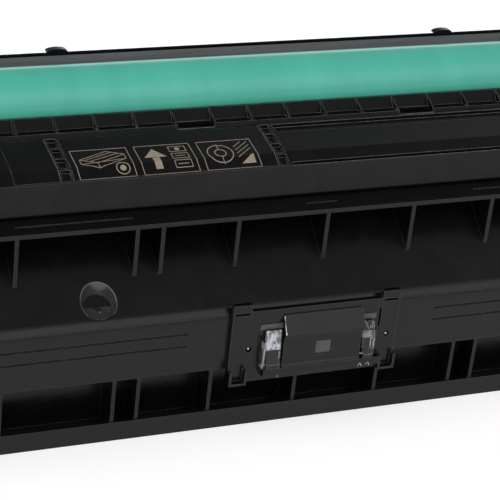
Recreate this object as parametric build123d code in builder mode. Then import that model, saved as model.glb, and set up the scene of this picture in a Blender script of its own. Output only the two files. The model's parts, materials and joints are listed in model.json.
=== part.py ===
"""Laser printer toner cartridge: hopper, cover, bare drum, cleaning housing and gear train.

X runs along the cartridge, Y from the belly to the cleaning housing, Z up.
The origin is under the middle of the overall box, on the surface that the base rests on.
"""
import math
import os
from build123d import *

# Overall length and wall, millimetres
LENGTH = 400.0
WALL = 2.5

# Clearances and overlaps
RUNNING = 0.05
SEAT = 0.02
ROLLER_GAP = 0.3
SHAFT_ROOM = 0.4
EMBED = 1.0

# Drum, placed from the belly and from the base
DRUM_RADIUS = 15.0
DRUM_WALL = 1.0
DRUM_BACK = 95.2
DRUM_HEIGHT = 119.1
NECK_RADIUS = 12.0
NECK_LENGTH = 2.0
PIN_RADIUS = 4.0
PIN_CHAMFER = 0.6
GEAR_PLUG = 12.0
HUB_PLUG = 10.0
COUPLING_RADIUS = 8.0
COUPLING_SOCKET = 5.2
COUPLING_DEPTH = 9.0
COUPLING_TWIST = 40.0
COUPLING_INSET = 1.0

# Lengths along X, each from the middle outwards
CAP_DEPTH = 32.0
SIDE_PLATE = 2.0
BOSS_PROUD = 4.0
BOSS_RADIUS = 11.0
BODY_HALF = LENGTH / 2 - CAP_DEPTH - SIDE_PLATE
PLATE_FACE = BODY_HALF + SIDE_PLATE
CAP_FACE = LENGTH / 2 - BOSS_PROUD
DRUM_HALF = BODY_HALF - 3.0
SLEEVE_HALF = BODY_HALF - 10.0
CHARGE_HALF = BODY_HALF - 12.0
GEAR_START = PLATE_FACE + 1.0
GEAR_WIDTH = 8.0
GEAR_END = GEAR_START + GEAR_WIDTH

# Roof of the cover, placed from the drum
ROOF_BACK = DRUM_BACK - 32.0
ROOF_TOP = DRUM_HEIGHT - 3.7
BEND_BACK = ROOF_BACK - 21.7
BEND_TOP = ROOF_TOP - 3.1
BAND_BACK = BEND_BACK - 7.2
BAND_TOP = BEND_TOP - 3.6
BAND_CREST_ROUND = 1.0
BAND_FOOT_ROUND = 1.2
COVER_BACK = BAND_BACK - 3.7
STEP_HEIGHT = ROOF_TOP - 11.4
STEP_BACK = ROOF_BACK + 8.8
ROOF_EXTRA = 0.4
CUT_RISE = 3.0

# Front and top of the hopper
RAIL_HEIGHT = 9.2
RAIL_THICK = 2.5
FLOOR = 3.0
CHANNEL_DEPTH = 14.0
CHANNEL_TOP = 29.7
CHANNEL_ROUND = 1.2
BELLY_TOP = 53.1
BELLY_RADIUS = 8.6
BELLY_TURN = 51.0
FLANGE_TOP = BAND_TOP - 13.8
FLANGE_THICK = 2.0
FLANGE_UNDER = FLANGE_TOP - FLANGE_THICK
FLANGE_BACK = COVER_BACK - 13.4
SLOPE_TOP_BACK = COVER_BACK + 16.6
MOUTH_FRONT = SLOPE_TOP_BACK + 2.8
MOUTH_BACK = ROOF_BACK + 12.8
HOPPER_BACK = DRUM_BACK + 2.8
CRADLE_WALL = 3.0
EAR_DROP = 12.0
FILL_RADIUS = 8.0
FILL_BEHIND = 24.0
PLUG_LIP = 2.0

# Stiffening ribs of the hopper, the outer pair placed from its ends
END_RIB_INSET = 14.0
END_GUSSET_INSET = 16.0
RIB_ROOM = 6.0
GUSSET_XS = (-130.8, -78.6, -67.1, -32.9, 8.9, 50.5, 89.8, 128.0)
GUSSET_THICK = 1.8
RIB_XS = (-139.4, -89.7, -78.7, -45.7, -5.3, 34.7, 72.5, 83.9, 122.0)
RIB_THICK = 1.6
RIB_SETBACK = 0.7
GROOVE_INNER_X = 58.8
GROOVE_OUTER_X = BODY_HALF - 8.0
GROOVE_HEIGHTS = (43.7, 49.7, 55.7)
GROOVE_WIDTH = 1.1
GROOVE_DEPTH = 0.7
WELD_RIDGES = ((-129.9, -78.7), (0.8, 15.4), (83.0, 130.0))
WELD_RIDGE_SETBACK = 7.0
WELD_RIDGE_SIZE = 0.8

# Round moulding gate, sunk in the slope
GATE_X = -96.5
GATE_BACK = 9.5
GATE_RADIUS = 8.0
GATE_TILT = 12.0
GATE_DEPTH = 5.3
GATE_WALL = 2.0
GATE_DIMPLE = 1.3
GATE_DIMPLE_DEPTH = 0.8

# Panel, ladders, track and groove of the cover
BAY_X = (-127.7, -107.8)
PANEL_X = (-101.8, -9.3)
LADDER_LEFT_X = (-107.8, -101.8)
LADDER_RIGHT_X = (-9.3, -3.5)
LADDER_RUNGS = (ROOF_BACK - 22.6, ROOF_BACK - 15.2, ROOF_BACK - 7.6)
PANEL_MARGIN = 0.6
RUNG_THICK = 0.9
STILE_THICK = 0.8
PANEL_SINK = 0.5
POCKET_SINK = 1.7
TRACK_BACK = (ROOF_BACK - 6.9, ROOF_BACK - 0.7)
GROOVE_BACK = (BAND_BACK + 0.2, BAND_BACK + 1.6)
COVER_CUT_END = BODY_HALF - 6.0

# Guide strip in front of the drum
GUIDE_GAP = 3.0
GUIDE_ANGLE = 181.0
LEDGE_FRONT = ROOF_BACK + 5.0
LEDGE_BACK = ROOF_BACK + 10.5
LEDGE_TOP = ROOF_TOP - 0.1
LEDGE_FALL = 1.0
LEDGE_THICK = 1.5
GUIDE_END_ROOM = 4.0
GUIDE_RIB_PITCH = 18.13
GUIDE_RIB_THICK = 0.8
LEDGE_WINDOW_EVERY = 6
LEDGE_WINDOW_CELL = 3.5
LEDGE_WINDOW_DEEP = 12.0

# Gear train
GEAR_MODULE = 0.8
PRESSURE_ANGLE = 20.0
DEDENDUM = 1.25
BACKLASH = 0.16
TOOTH_EMBED = 0.2
DRUM_TEETH = 38
SLEEVE_TEETH = 25
IDLER_TEETH = 30
AGITATOR_TEETH = 60
SLEEVE_DIRECTION = 243.3
IDLER_PIN = 3.0
IDLER_PIN_LIP = 1.5
PIN_LIP_THICK = 0.8

# Agitator, placed from the hopper's back wall and flange
AGITATOR_BACK = HOPPER_BACK - 42.0
AGITATOR_HEIGHT = FLANGE_TOP - 42.9
AGITATOR_SHAFT = 4.0
AGITATOR_PADDLE = 8.0
AGITATOR_REACH = 28.0
FILM_START = 6.0
FILM_THICK = 0.6

# Developer roller
SLEEVE_AXIS_DISTANCE = GEAR_MODULE * (DRUM_TEETH + SLEEVE_TEETH) / 2
SLEEVE_RADIUS = SLEEVE_AXIS_DISTANCE - DRUM_RADIUS - ROLLER_GAP
SLEEVE_WALL = 1.0
SLEEVE_PLUG = 10.0
CORE_GAP = 1.7
CORE_SHAFT = 2.0
CORE_SHAFT_PROUD = 6.0
CORE_SOCKET = 6.5
JOURNAL_RADIUS = 4.0
BUSH_RADIUS = 6.5
CRADLE_RADIUS = SLEEVE_RADIUS + 1.0
PLATE_THICK = 1.2
DOCTOR_THICK = 1.3
DOCTOR_SEAT = 3.0

# Charge roller
CHARGE_RADIUS = 6.0
CHARGE_SHAFT = 3.0
CHARGE_CHAMFER = 0.5
CHARGE_DIRECTION = -40.0
CHARGE_BLOCK = 8.0
CHARGE_BLOCK_GAP = 1.5
CHARGE_SPRING_THICK = 0.6

# Cleaning housing, placed from the drum
HOUSING_GAP = 3.3
HOUSING_DEPTH = 29.0
HOUSING_FRONT = DRUM_BACK + DRUM_RADIUS + HOUSING_GAP
HOUSING_BACK = HOUSING_FRONT + HOUSING_DEPTH
HOUSING_TOP = DRUM_HEIGHT + 12.7
HOUSING_LOW = DRUM_HEIGHT - 59.1
HOUSING_CORNER = (8.0, 10.0)
HOUSING_STEP_ROOM = 3.7
HOUSING_LIP_ROUND = 0.8
MOUTH_HEIGHT = 6.0
LID_FALL = 30.0
LID_SETBACK = 0.9
LID_THICK = 1.85
LUMP_XS = (-87.6, 106.3)
LUMP_HALF = 4.9
LUMP_RISE = 1.4
LUMP_DEPTH = 3.0
BRACKET_DROP = 5.0
BLADE_SCREW_RADIUS = 1.55
BLADE_SCREW_HEAD = 2.6
BLADE_SCREW_HEAD_THICK = 0.7
BLADE_SCREW_COUNT = 2
BLADE_SEAT = (1.2, 4.5)
BLADE_TOP_ANGLE = -3.0
BLADE_TIP_ANGLE = -18.0
BLADE_TIP_SPAN = 2.0

# End caps
CAP_RISE = 22.9
CAP_OVER = 2.0
CAP_ROUND = 6.0
CAP_EDGE = 1.2
RAIL_LENGTH = 70.0
RAIL_WIDTH = 6.0
RAIL_PROUD = 2.0
RAIL_SETBACK = 30.0
RAIL_DROP = 22.0
LOW_SCREW = (10.0, 14.0)
HIGH_SCREW = (9.0, 6.0)
SCREW_RADIUS = 1.5
SCREW_HEAD = 3.4
SCREW_HEAD_THICK = 2.0
SCREW_POST = 4.0
CONTACT_SIZE = (8.0, 12.0)
CONTACT_PITCH = 12.0
CONTACT_SETBACK = 50.0
CONTACT_DROP = 18.0
CONTACT_THICK = 0.5
CHIP_SIZE = (12.0, 18.0)
CHIP_INSET = 16.0
CHIP_RAISE = 30.0
CHIP_THICK = 1.0
CHIP_PAD = (8.0, 3.0)
CHIP_PAD_PITCH = 4.5
CHIP_PAD_THICK = 0.2

# Toner sensor on the belly
HOOD_PROUD = 7.5
SENSOR_HALF = 39.6
SENSOR_LOW = 24.0
SENSOR_TOP = 59.0
SENSOR_THICK = 2.5
TAB_WIDTH = 8.6
TAB_RISE = 3.4
TAB_SLOT = (7.0, 1.1)
HOOD_X = 2.9
HOOD_HALF = 18.6
HOOD_TOP = 56.0
HOOD_CREASE = 47.0
HOOD_FALL = 2.0
TRAY_X = 3.4
TRAY_HALF = 27.8
TRAY_TOP = 31.5
TRAY_LIP = 3.3
FOOT_WIDTH = 8.0
FOOT_HEIGHT = 7.0
FOOT_PROUD = 3.0
FOOT_WALL = 1.0
PRISM_GAP = 1.1
LEFT_PRISM_WIDTH = 8.7
RIGHT_PRISM_WIDTH = 6.0
PRISM_PROUD = 4.2
PRISM_TOP = 49.5
PRISM_FACET = 4.0
PAD_HEIGHT = 2.6
PAD_THICK = 0.4
BEAM_SLOT = (1.0, 9.4)
WINDOW_X = 3.6
WINDOW_HEIGHT = 39.2
WINDOW_SIZE = (7.6, 6.6)
WINDOW_SINK = 1.0
WINDOW_THICK = 0.4
PIN_PLACES = ((-30.8, 40.2), (35.1, 40.6))
PIN_HOLE = 1.5
PIN_HOLE_DEPTH = 1.6

# Overall depth and height that follow from the above
DEPTH = HOOD_PROUD + HOUSING_BACK
HEIGHT = DRUM_HEIGHT + CAP_RISE
BELLY_Y = -DEPTH / 2 + HOOD_PROUD


def at(back, height):
    """A point of the cross-section, given as distance behind the belly and height."""
    return (BELLY_Y + back, height)


def around(centre, radius, degrees):
    """A point at an angle on a circle of the cross-section, counted from +Y towards +Z."""
    angle = math.radians(degrees)
    return (centre[0] + radius * math.cos(angle), centre[1] + radius * math.sin(angle))


def direction(start, end):
    """The angle in degrees from one point of the cross-section to another."""
    return math.degrees(math.atan2(end[1] - start[1], end[0] - start[0]))


DRUM_AXIS = at(DRUM_BACK, DRUM_HEIGHT)
SLEEVE_AXIS = around(DRUM_AXIS, SLEEVE_AXIS_DISTANCE, SLEEVE_DIRECTION)
CHARGE_AXIS = around(DRUM_AXIS, DRUM_RADIUS + ROLLER_GAP + CHARGE_RADIUS, CHARGE_DIRECTION)
AGITATOR_AXIS = at(AGITATOR_BACK, AGITATOR_HEIGHT)
FILL_AXIS = at(AGITATOR_BACK + FILL_BEHIND, AGITATOR_HEIGHT)
STEP_FRONT = CHARGE_AXIS[0] + CHARGE_BLOCK


def idler_axis():
    """Where the idler meets both the sleeve's gear and the agitator's gear."""
    to_sleeve = GEAR_MODULE * (SLEEVE_TEETH + IDLER_TEETH) / 2
    to_agitator = GEAR_MODULE * (IDLER_TEETH + AGITATOR_TEETH) / 2
    apart = math.dist(SLEEVE_AXIS, AGITATOR_AXIS)
    cosine = (to_sleeve**2 + apart**2 - to_agitator**2) / (2 * to_sleeve * apart)
    turn = math.degrees(math.acos(max(-1.0, min(1.0, cosine))))
    return around(SLEEVE_AXIS, to_sleeve, direction(SLEEVE_AXIS, AGITATOR_AXIS) + turn)


IDLER_AXIS = idler_axis()


def save(builder, name):
    """Label a finished piece and write its STEP file."""
    builder.part.label = name
    export_step(builder.part, f"parts/{name}.step")


def section(x, centre=(0.0, 0.0)):
    """A plane across the cartridge at x, with its own origin at a point of the cross-section."""
    return Plane(origin=(x, centre[0], centre[1]), x_dir=(0, 1, 0), z_dir=(1, 0, 0))


def sections(places):
    """One such plane for each place along the cartridge."""
    return [section(x) for x in places]


# Gear teeth

def involute(radius, base):
    """The involute function of the flank at a radius, in radians."""
    rolled = math.sqrt(max(0.0, (radius / base)**2 - 1))
    return rolled - math.atan(rolled)


def tooth_outline(teeth):
    """One involute tooth that points along the sketch's first axis."""
    pitch = GEAR_MODULE * teeth / 2
    base = pitch * math.cos(math.radians(PRESSURE_ANGLE))
    root = pitch - DEDENDUM * GEAR_MODULE
    tip = pitch + GEAR_MODULE
    half_at_pitch = (math.pi * GEAR_MODULE / 2 - BACKLASH) / (2 * pitch)
    flank = []
    for radius in (max(base, root), pitch, tip):
        half = half_at_pitch + involute(pitch, base) - involute(radius, base)
        flank.append((radius, half))
    flank[0] = (root - TOOTH_EMBED, flank[0][1])
    upper = [(r * math.cos(a), r * math.sin(a)) for r, a in flank]
    lower = [(x, -y) for x, y in upper]
    return lower + upper[::-1]


def gear_face(teeth, axis, phase, x=GEAR_START):
    """The face of a spur gear whose first tooth stands at an angle."""
    root = GEAR_MODULE * teeth / 2 - DEDENDUM * GEAR_MODULE
    with BuildSketch(section(x, axis)) as face:
        Circle(root)
        with PolarLocations(0, teeth, start_angle=phase):
            Polygon(*tooth_outline(teeth), align=None)
    return face.sketch


def meshing_phase(phase, teeth, axis, next_teeth, next_axis):
    """The first tooth's angle on the next gear, so that a gap there meets a tooth here."""
    towards = direction(axis, next_axis)
    offset = ((phase - towards) / (360 / teeth)) % 1.0
    return towards + 180 + (0.5 - offset) * 360 / next_teeth


DRUM_PHASE = direction(DRUM_AXIS, SLEEVE_AXIS)
SLEEVE_PHASE = meshing_phase(DRUM_PHASE, DRUM_TEETH, DRUM_AXIS, SLEEVE_TEETH, SLEEVE_AXIS)
IDLER_PHASE = meshing_phase(SLEEVE_PHASE, SLEEVE_TEETH, SLEEVE_AXIS, IDLER_TEETH, IDLER_AXIS)
AGITATOR_PHASE = meshing_phase(IDLER_PHASE, IDLER_TEETH, IDLER_AXIS, AGITATOR_TEETH, AGITATOR_AXIS)


# Hopper

def slope_height(back):
    """Height of the straight line from the belly's round to the top of the slope."""
    low_back = BELLY_RADIUS * (1 - math.cos(math.radians(BELLY_TURN)))
    low_height = BELLY_TOP + BELLY_RADIUS * math.sin(math.radians(BELLY_TURN))
    share = (back - low_back) / (SLOPE_TOP_BACK - low_back)
    return low_height + share * (FLANGE_UNDER - low_height)


def gate_plane():
    """The plane across the moulding gate's axis where it meets the slope."""
    tilt = math.radians(GATE_TILT)
    y, z = at(GATE_BACK, slope_height(GATE_BACK))
    return Plane(origin=(GATE_X, y, z), x_dir=(1, 0, 0), z_dir=(0, -math.sin(tilt), math.cos(tilt)))


def gate_recess(wall=0.0):
    """The round space of the moulding gate, with a floor parallel to the slope, grown by a wall."""
    reach = 3 * GATE_RADIUS
    front, back = GATE_BACK - reach, GATE_BACK + reach
    depth = GATE_DEPTH + wall
    with BuildPart() as recess:
        with BuildSketch(gate_plane()):
            Circle(GATE_RADIUS + wall)
        extrude(amount=reach, both=True)
        with BuildSketch(section(GATE_X)):
            Polygon(
                at(front, slope_height(front) - depth),
                at(back, slope_height(back) - depth),
                at(back, slope_height(back) + reach),
                at(front, slope_height(back) + reach),
                align=None,
            )
        extrude(amount=reach, both=True, mode=Mode.INTERSECT)
    return recess.part


def toner_chamber():
    """The hollow of the hopper, which leaves the wall round the moulding gate."""
    low_back = BELLY_RADIUS * (1 - math.cos(math.radians(BELLY_TURN)))
    roof = SLEEVE_AXIS[1] - CRADLE_RADIUS - CRADLE_WALL
    with BuildPart() as chamber:
        with BuildSketch(Plane.YZ):
            Polygon(
                at(CHANNEL_DEPTH + WALL, FLOOR),
                at(HOPPER_BACK - WALL, FLOOR),
                at(HOPPER_BACK - WALL, roof),
                at(MOUTH_BACK, roof),
                at(MOUTH_BACK, FLANGE_TOP + EMBED),
                at(MOUTH_FRONT, FLANGE_TOP + EMBED),
                at(MOUTH_FRONT, FLANGE_UNDER - WALL),
                at(WALL + low_back, slope_height(low_back) - WALL / 2),
                at(WALL, BELLY_TOP),
                at(WALL, CHANNEL_TOP + WALL),
                at(CHANNEL_DEPTH + WALL, CHANNEL_TOP + WALL),
                align=None,
            )
        extrude(amount=BODY_HALF - WALL, both=True)
        add(gate_recess(GATE_WALL), mode=Mode.SUBTRACT)
    return chamber.part


def rib_places(inner, inset):
    """Rib positions: the inner ones that fit between the outer pair, which stands in from the ends."""
    outer = BODY_HALF - inset
    return [-outer, *[x for x in inner if abs(x) < outer - RIB_ROOM], outer]


def hopper():
    """Lower hopper moulding, with its belly, slope, weld flange, gussets and front channel."""
    with BuildPart() as hopper_body:
        with BuildSketch(Plane.YZ) as shell:
            with BuildLine():
                belly = JernArc(at(0, BELLY_TOP), (0, 1), BELLY_RADIUS, -BELLY_TURN)
                slope = TangentArc(belly @ 1, at(SLOPE_TOP_BACK, FLANGE_UNDER), tangent=belly % 1)
                Polyline(
                    slope @ 1,
                    at(FLANGE_BACK, FLANGE_UNDER),
                    at(FLANGE_BACK, FLANGE_TOP),
                    at(HOPPER_BACK, FLANGE_TOP),
                    at(HOPPER_BACK, 0),
                    at(0, 0),
                    at(0, RAIL_HEIGHT),
                    at(RAIL_THICK, RAIL_HEIGHT),
                    at(RAIL_THICK, FLOOR),
                    at(CHANNEL_DEPTH, FLOOR),
                    at(CHANNEL_DEPTH, CHANNEL_TOP),
                    at(0, CHANNEL_TOP),
                    at(0, BELLY_TOP),
                )
            make_face()
            with Locations(SLEEVE_AXIS):
                Circle(CRADLE_RADIUS, mode=Mode.SUBTRACT)
            lip = shell.vertices().sort_by_distance(at(0, CHANNEL_TOP))[0]
            fillet(lip, CHANNEL_ROUND)
        extrude(amount=BODY_HALF, both=True)
        add(toner_chamber(), mode=Mode.SUBTRACT)

        with BuildSketch(*sections(rib_places(GUSSET_XS, END_GUSSET_INSET))):
            Polygon(
                at(FLANGE_BACK, FLANGE_UNDER),
                at(FLANGE_BACK, slope_height(FLANGE_BACK) - EMBED),
                at(SLOPE_TOP_BACK, FLANGE_UNDER - EMBED),
                at(SLOPE_TOP_BACK, FLANGE_UNDER),
                align=None,
            )
        extrude(amount=GUSSET_THICK / 2, both=True)

        with BuildSketch(*sections(rib_places(RIB_XS, END_RIB_INSET))):
            Polygon(
                at(RIB_SETBACK, 0),
                at(CHANNEL_DEPTH + EMBED, 0),
                at(CHANNEL_DEPTH + EMBED, CHANNEL_TOP + EMBED),
                at(RIB_SETBACK + CHANNEL_ROUND, CHANNEL_TOP + EMBED),
                at(RIB_SETBACK, CHANNEL_TOP - RIB_SETBACK),
                align=None,
            )
        extrude(amount=RIB_THICK / 2, both=True)

        # Ears that carry the developer roller's bushes
        with BuildSketch(section(BODY_HALF - WALL), section(-BODY_HALF)):
            Polygon(
                at(MOUTH_BACK - EMBED, FLANGE_TOP - EAR_DROP),
                at(HOPPER_BACK, FLANGE_TOP - EAR_DROP),
                at(HOPPER_BACK, FLANGE_TOP),
                (SLEEVE_AXIS[0] + BUSH_RADIUS, SLEEVE_AXIS[1] + BUSH_RADIUS + WALL),
                (SLEEVE_AXIS[0] - BUSH_RADIUS, SLEEVE_AXIS[1] + BUSH_RADIUS + WALL),
                at(MOUTH_BACK - EMBED, FLANGE_TOP),
                align=None,
            )
        extrude(amount=WALL)
        with BuildSketch(section(-BODY_HALF, SLEEVE_AXIS)):
            Circle(BUSH_RADIUS + SEAT)
        extrude(amount=2 * BODY_HALF, mode=Mode.SUBTRACT)
        with BuildSketch(section(-BODY_HALF, AGITATOR_AXIS)):
            Circle(AGITATOR_SHAFT + RUNNING)
        extrude(amount=2 * BODY_HALF, mode=Mode.SUBTRACT)
        with BuildSketch(section(-BODY_HALF, FILL_AXIS)):
            Circle(FILL_RADIUS)
        extrude(amount=WALL, mode=Mode.SUBTRACT)

        # Grooves, weld ridges and the moulding gate
        groove_length = GROOVE_OUTER_X - GROOVE_INNER_X
        groove_middle = (GROOVE_OUTER_X + GROOVE_INNER_X) / 2
        places = [(side * groove_middle, BELLY_Y, z) for side in (-1, 1) for z in GROOVE_HEIGHTS]
        with Locations(*places):
            Box(groove_length, 2 * GROOVE_DEPTH, GROOVE_WIDTH, mode=Mode.SUBTRACT)
        for start, end in WELD_RIDGES:
            ridge_y, ridge_z = at(FLANGE_BACK + WELD_RIDGE_SETBACK, FLANGE_TOP)
            with Locations(((start + end) / 2, ridge_y, ridge_z)):
                Box(end - start, WELD_RIDGE_SIZE, WELD_RIDGE_SIZE)
        add(gate_recess(), mode=Mode.SUBTRACT)
        with BuildSketch(gate_plane().offset(-GATE_DEPTH)):
            Circle(GATE_DIMPLE)
        extrude(amount=-GATE_DIMPLE_DEPTH, mode=Mode.SUBTRACT)
    save(hopper_body, "hopper_body")


def fill_plug_piece():
    """Stopper of the filling hole in the left end wall."""
    with BuildPart() as fill_plug:
        with BuildSketch(section(-BODY_HALF, FILL_AXIS)):
            Circle(FILL_RADIUS - SEAT)
        extrude(amount=WALL)
        with BuildSketch(section(-BODY_HALF + WALL, FILL_AXIS)):
            Circle(FILL_RADIUS - PLUG_LIP / 2)
        extrude(amount=PLUG_LIP)
    save(fill_plug, "fill_plug")


# Cover

def roof_height(back):
    """Height of the cover's top at a distance behind the belly."""
    if back < BEND_BACK:
        share = (back - BAND_BACK) / (BEND_BACK - BAND_BACK)
        return BAND_TOP + share * (BEND_TOP - BAND_TOP)
    share = (back - BEND_BACK) / (ROOF_BACK - BEND_BACK)
    return BEND_TOP + share * (ROOF_TOP - BEND_TOP)


def roof_cut(front, back, sink):
    """Outline of a cut that follows the cover's top and goes in by sink."""
    stops = [front, back]
    if front < BEND_BACK < back:
        stops.insert(1, BEND_BACK)
    lower = [at(stop, roof_height(stop) - sink) for stop in stops]
    upper = [at(stop, roof_height(stop) + CUT_RISE) for stop in reversed(stops)]
    return lower + upper


def cut_roof(spans, front, back, sink):
    """Solid of such a cut over one or more spans along the cartridge."""
    with BuildPart() as cut:
        for start, end in spans:
            with BuildSketch(section(start)):
                Polygon(*roof_cut(front, back, sink), align=None)
            extrude(amount=end - start)
    return cut.part


def cover():
    """Upper cover with its rounded front band, sunk panel, ladders, track and groove."""
    outer = [
        at(COVER_BACK, FLANGE_TOP),
        at(BAND_BACK, BAND_TOP),
        at(BEND_BACK, BEND_TOP),
        at(ROOF_BACK, ROOF_TOP),
        at(ROOF_BACK, STEP_HEIGHT),
        at(STEP_BACK, STEP_HEIGHT),
        at(STEP_BACK, STEP_HEIGHT - WALL),
    ]
    inner = [
        at(ROOF_BACK - WALL, STEP_HEIGHT - WALL),
        at(ROOF_BACK - WALL, ROOF_TOP - WALL - ROOF_EXTRA),
        at(BEND_BACK + 2 * ROOF_EXTRA, BEND_TOP - WALL),
        at(BAND_BACK + WALL, BAND_TOP - WALL + EMBED),
        at(COVER_BACK + WALL, FLANGE_TOP),
    ]
    with BuildPart() as hopper_cover:
        with BuildSketch(Plane.YZ) as skin:
            Polygon(*outer, *inner, align=None)
            fillet(skin.vertices().sort_by_distance(outer[1])[0], BAND_CREST_ROUND)
            fillet(skin.vertices().sort_by_distance(outer[0])[0], BAND_FOOT_ROUND)
        extrude(amount=BODY_HALF, both=True)
        with BuildSketch(section(BODY_HALF - WALL), section(-BODY_HALF)):
            Polygon(*outer[:6], at(STEP_BACK, FLANGE_TOP), align=None)
        extrude(amount=WALL)
        front = BAND_BACK + PANEL_MARGIN
        back = ROOF_BACK - PANEL_MARGIN
        add(cut_roof([BAY_X, PANEL_X], front, ROOF_BACK + EMBED, PANEL_SINK), mode=Mode.SUBTRACT)
        ladders = [(low + STILE_THICK, high - STILE_THICK) for low, high in (LADDER_LEFT_X, LADDER_RIGHT_X)]
        stops = [front - RUNG_THICK / 2, *LADDER_RUNGS, back + RUNG_THICK / 2]
        for low, high in zip(stops, stops[1:]):
            pocket = cut_roof(ladders, low + RUNG_THICK / 2, high - RUNG_THICK / 2, POCKET_SINK)
            add(pocket, mode=Mode.SUBTRACT)
        right = [(LADDER_RIGHT_X[1] + STILE_THICK, COVER_CUT_END)]
        add(cut_roof(right, *TRACK_BACK, POCKET_SINK), mode=Mode.SUBTRACT)
        add(cut_roof(right, *GROOVE_BACK, POCKET_SINK), mode=Mode.SUBTRACT)
    save(hopper_cover, "hopper_cover")


# Guide strip in front of the drum

def guide_strip():
    """Ribbed strip that stands on the cover's step, with a ledge broken by windows."""
    crest = around(DRUM_AXIS, DRUM_RADIUS + GUIDE_GAP, GUIDE_ANGLE)
    crest_rear = around(DRUM_AXIS, DRUM_RADIUS + GUIDE_GAP - LEDGE_THICK, GUIDE_ANGLE + 1)
    root = at(LEDGE_BACK, LEDGE_TOP - LEDGE_FALL)
    rib_count = 2 * int((BODY_HALF - GUIDE_END_ROOM) / GUIDE_RIB_PITCH)
    with BuildPart() as ribbed_guide:
        with BuildSketch(Plane.YZ):
            Polygon(
                at(LEDGE_FRONT - LEDGE_FALL, STEP_HEIGHT),
                at(LEDGE_FRONT - LEDGE_FALL, LEDGE_TOP - 2 * LEDGE_FALL),
                at(LEDGE_FRONT, LEDGE_TOP),
                root,
                crest,
                crest_rear,
                at(LEDGE_BACK + LEDGE_THICK, LEDGE_TOP - LEDGE_FALL - LEDGE_THICK),
                at(LEDGE_FRONT + LEDGE_THICK, LEDGE_TOP - LEDGE_FALL / 2 - LEDGE_THICK),
                at(LEDGE_FRONT + LEDGE_THICK, STEP_HEIGHT),
                align=None,
            )
        extrude(amount=BODY_HALF, both=True)
        first = -rib_count / 2 + 0.5
        ribs = [(first + k) * GUIDE_RIB_PITCH for k in range(rib_count)]
        windows = [x for k, x in enumerate(ribs) if (first + k - LEDGE_WINDOW_CELL) % LEDGE_WINDOW_EVERY == 0]
        opening_y, opening_z = at((LEDGE_FRONT + LEDGE_BACK - LEDGE_THICK) / 2, LEDGE_TOP)
        for x in windows:
            with Locations((x + GUIDE_RIB_PITCH / 2, opening_y, opening_z)):
                Box(
                    GUIDE_RIB_PITCH - GUIDE_RIB_THICK,
                    LEDGE_BACK - LEDGE_FRONT,
                    LEDGE_WINDOW_DEEP,
                    mode=Mode.SUBTRACT,
                )
        with BuildSketch(*sections(ribs)):
            Polygon(
                at(LEDGE_FRONT, LEDGE_TOP),
                crest,
                root,
                at(LEDGE_FRONT, LEDGE_TOP - 2 * LEDGE_FALL),
                align=None,
            )
        extrude(amount=GUIDE_RIB_THICK / 2, both=True)
    save(ribbed_guide, "ribbed_guide")


# Drum

def drum():
    """Coated tube, its gear flange with the drive coupling, its plain flange and its pin."""
    with BuildPart() as photoconductor_drum:
        with BuildSketch(section(0, DRUM_AXIS)):
            Circle(DRUM_RADIUS)
            Circle(DRUM_RADIUS - DRUM_WALL, mode=Mode.SUBTRACT)
        extrude(amount=DRUM_HALF, both=True)
    save(photoconductor_drum, "photoconductor_drum")

    plug = DRUM_RADIUS - DRUM_WALL - SEAT
    coupling_end = LENGTH / 2 - COUPLING_INSET
    with BuildPart() as drum_gear:
        with BuildSketch(section(DRUM_HALF - GEAR_PLUG, DRUM_AXIS)):
            Circle(plug)
        extrude(amount=GEAR_PLUG)
        with BuildSketch(section(DRUM_HALF, DRUM_AXIS)):
            Circle(NECK_RADIUS)
        extrude(amount=GEAR_START - DRUM_HALF)
        extrude(gear_face(DRUM_TEETH, DRUM_AXIS, DRUM_PHASE), amount=GEAR_WIDTH)
        with BuildSketch(section(GEAR_END, DRUM_AXIS)):
            Circle(COUPLING_RADIUS)
        extrude(amount=coupling_end - GEAR_END)
        with BuildSketch(section(coupling_end, DRUM_AXIS)):
            RegularPolygon(COUPLING_SOCKET, 3)
        with BuildSketch(section(coupling_end - COUPLING_DEPTH, DRUM_AXIS)):
            RegularPolygon(COUPLING_SOCKET, 3, rotation=COUPLING_TWIST)
        loft(mode=Mode.SUBTRACT)
    save(drum_gear, "drum_gear")

    with BuildPart() as drum_hub:
        with BuildSketch(section(-DRUM_HALF, DRUM_AXIS)):
            Circle(plug)
        extrude(amount=HUB_PLUG)
        with BuildSketch(section(-DRUM_HALF - NECK_LENGTH, DRUM_AXIS)):
            Circle(NECK_RADIUS)
        extrude(amount=NECK_LENGTH)
        with BuildSketch(section(-DRUM_HALF - NECK_LENGTH, DRUM_AXIS)):
            Circle(PIN_RADIUS + RUNNING)
        extrude(amount=NECK_LENGTH + HUB_PLUG, mode=Mode.SUBTRACT)
    save(drum_hub, "drum_hub")

    with BuildPart() as drum_pin:
        with BuildSketch(section(-CAP_FACE - BOSS_PROUD, DRUM_AXIS)):
            Circle(PIN_RADIUS)
        extrude(amount=CAP_FACE + BOSS_PROUD - DRUM_HALF + HUB_PLUG - 2 * EMBED)
        chamfer(drum_pin.edges().group_by(Axis.X)[0], PIN_CHAMFER)
    save(drum_pin, "drum_pin")


# Charge roller

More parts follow.
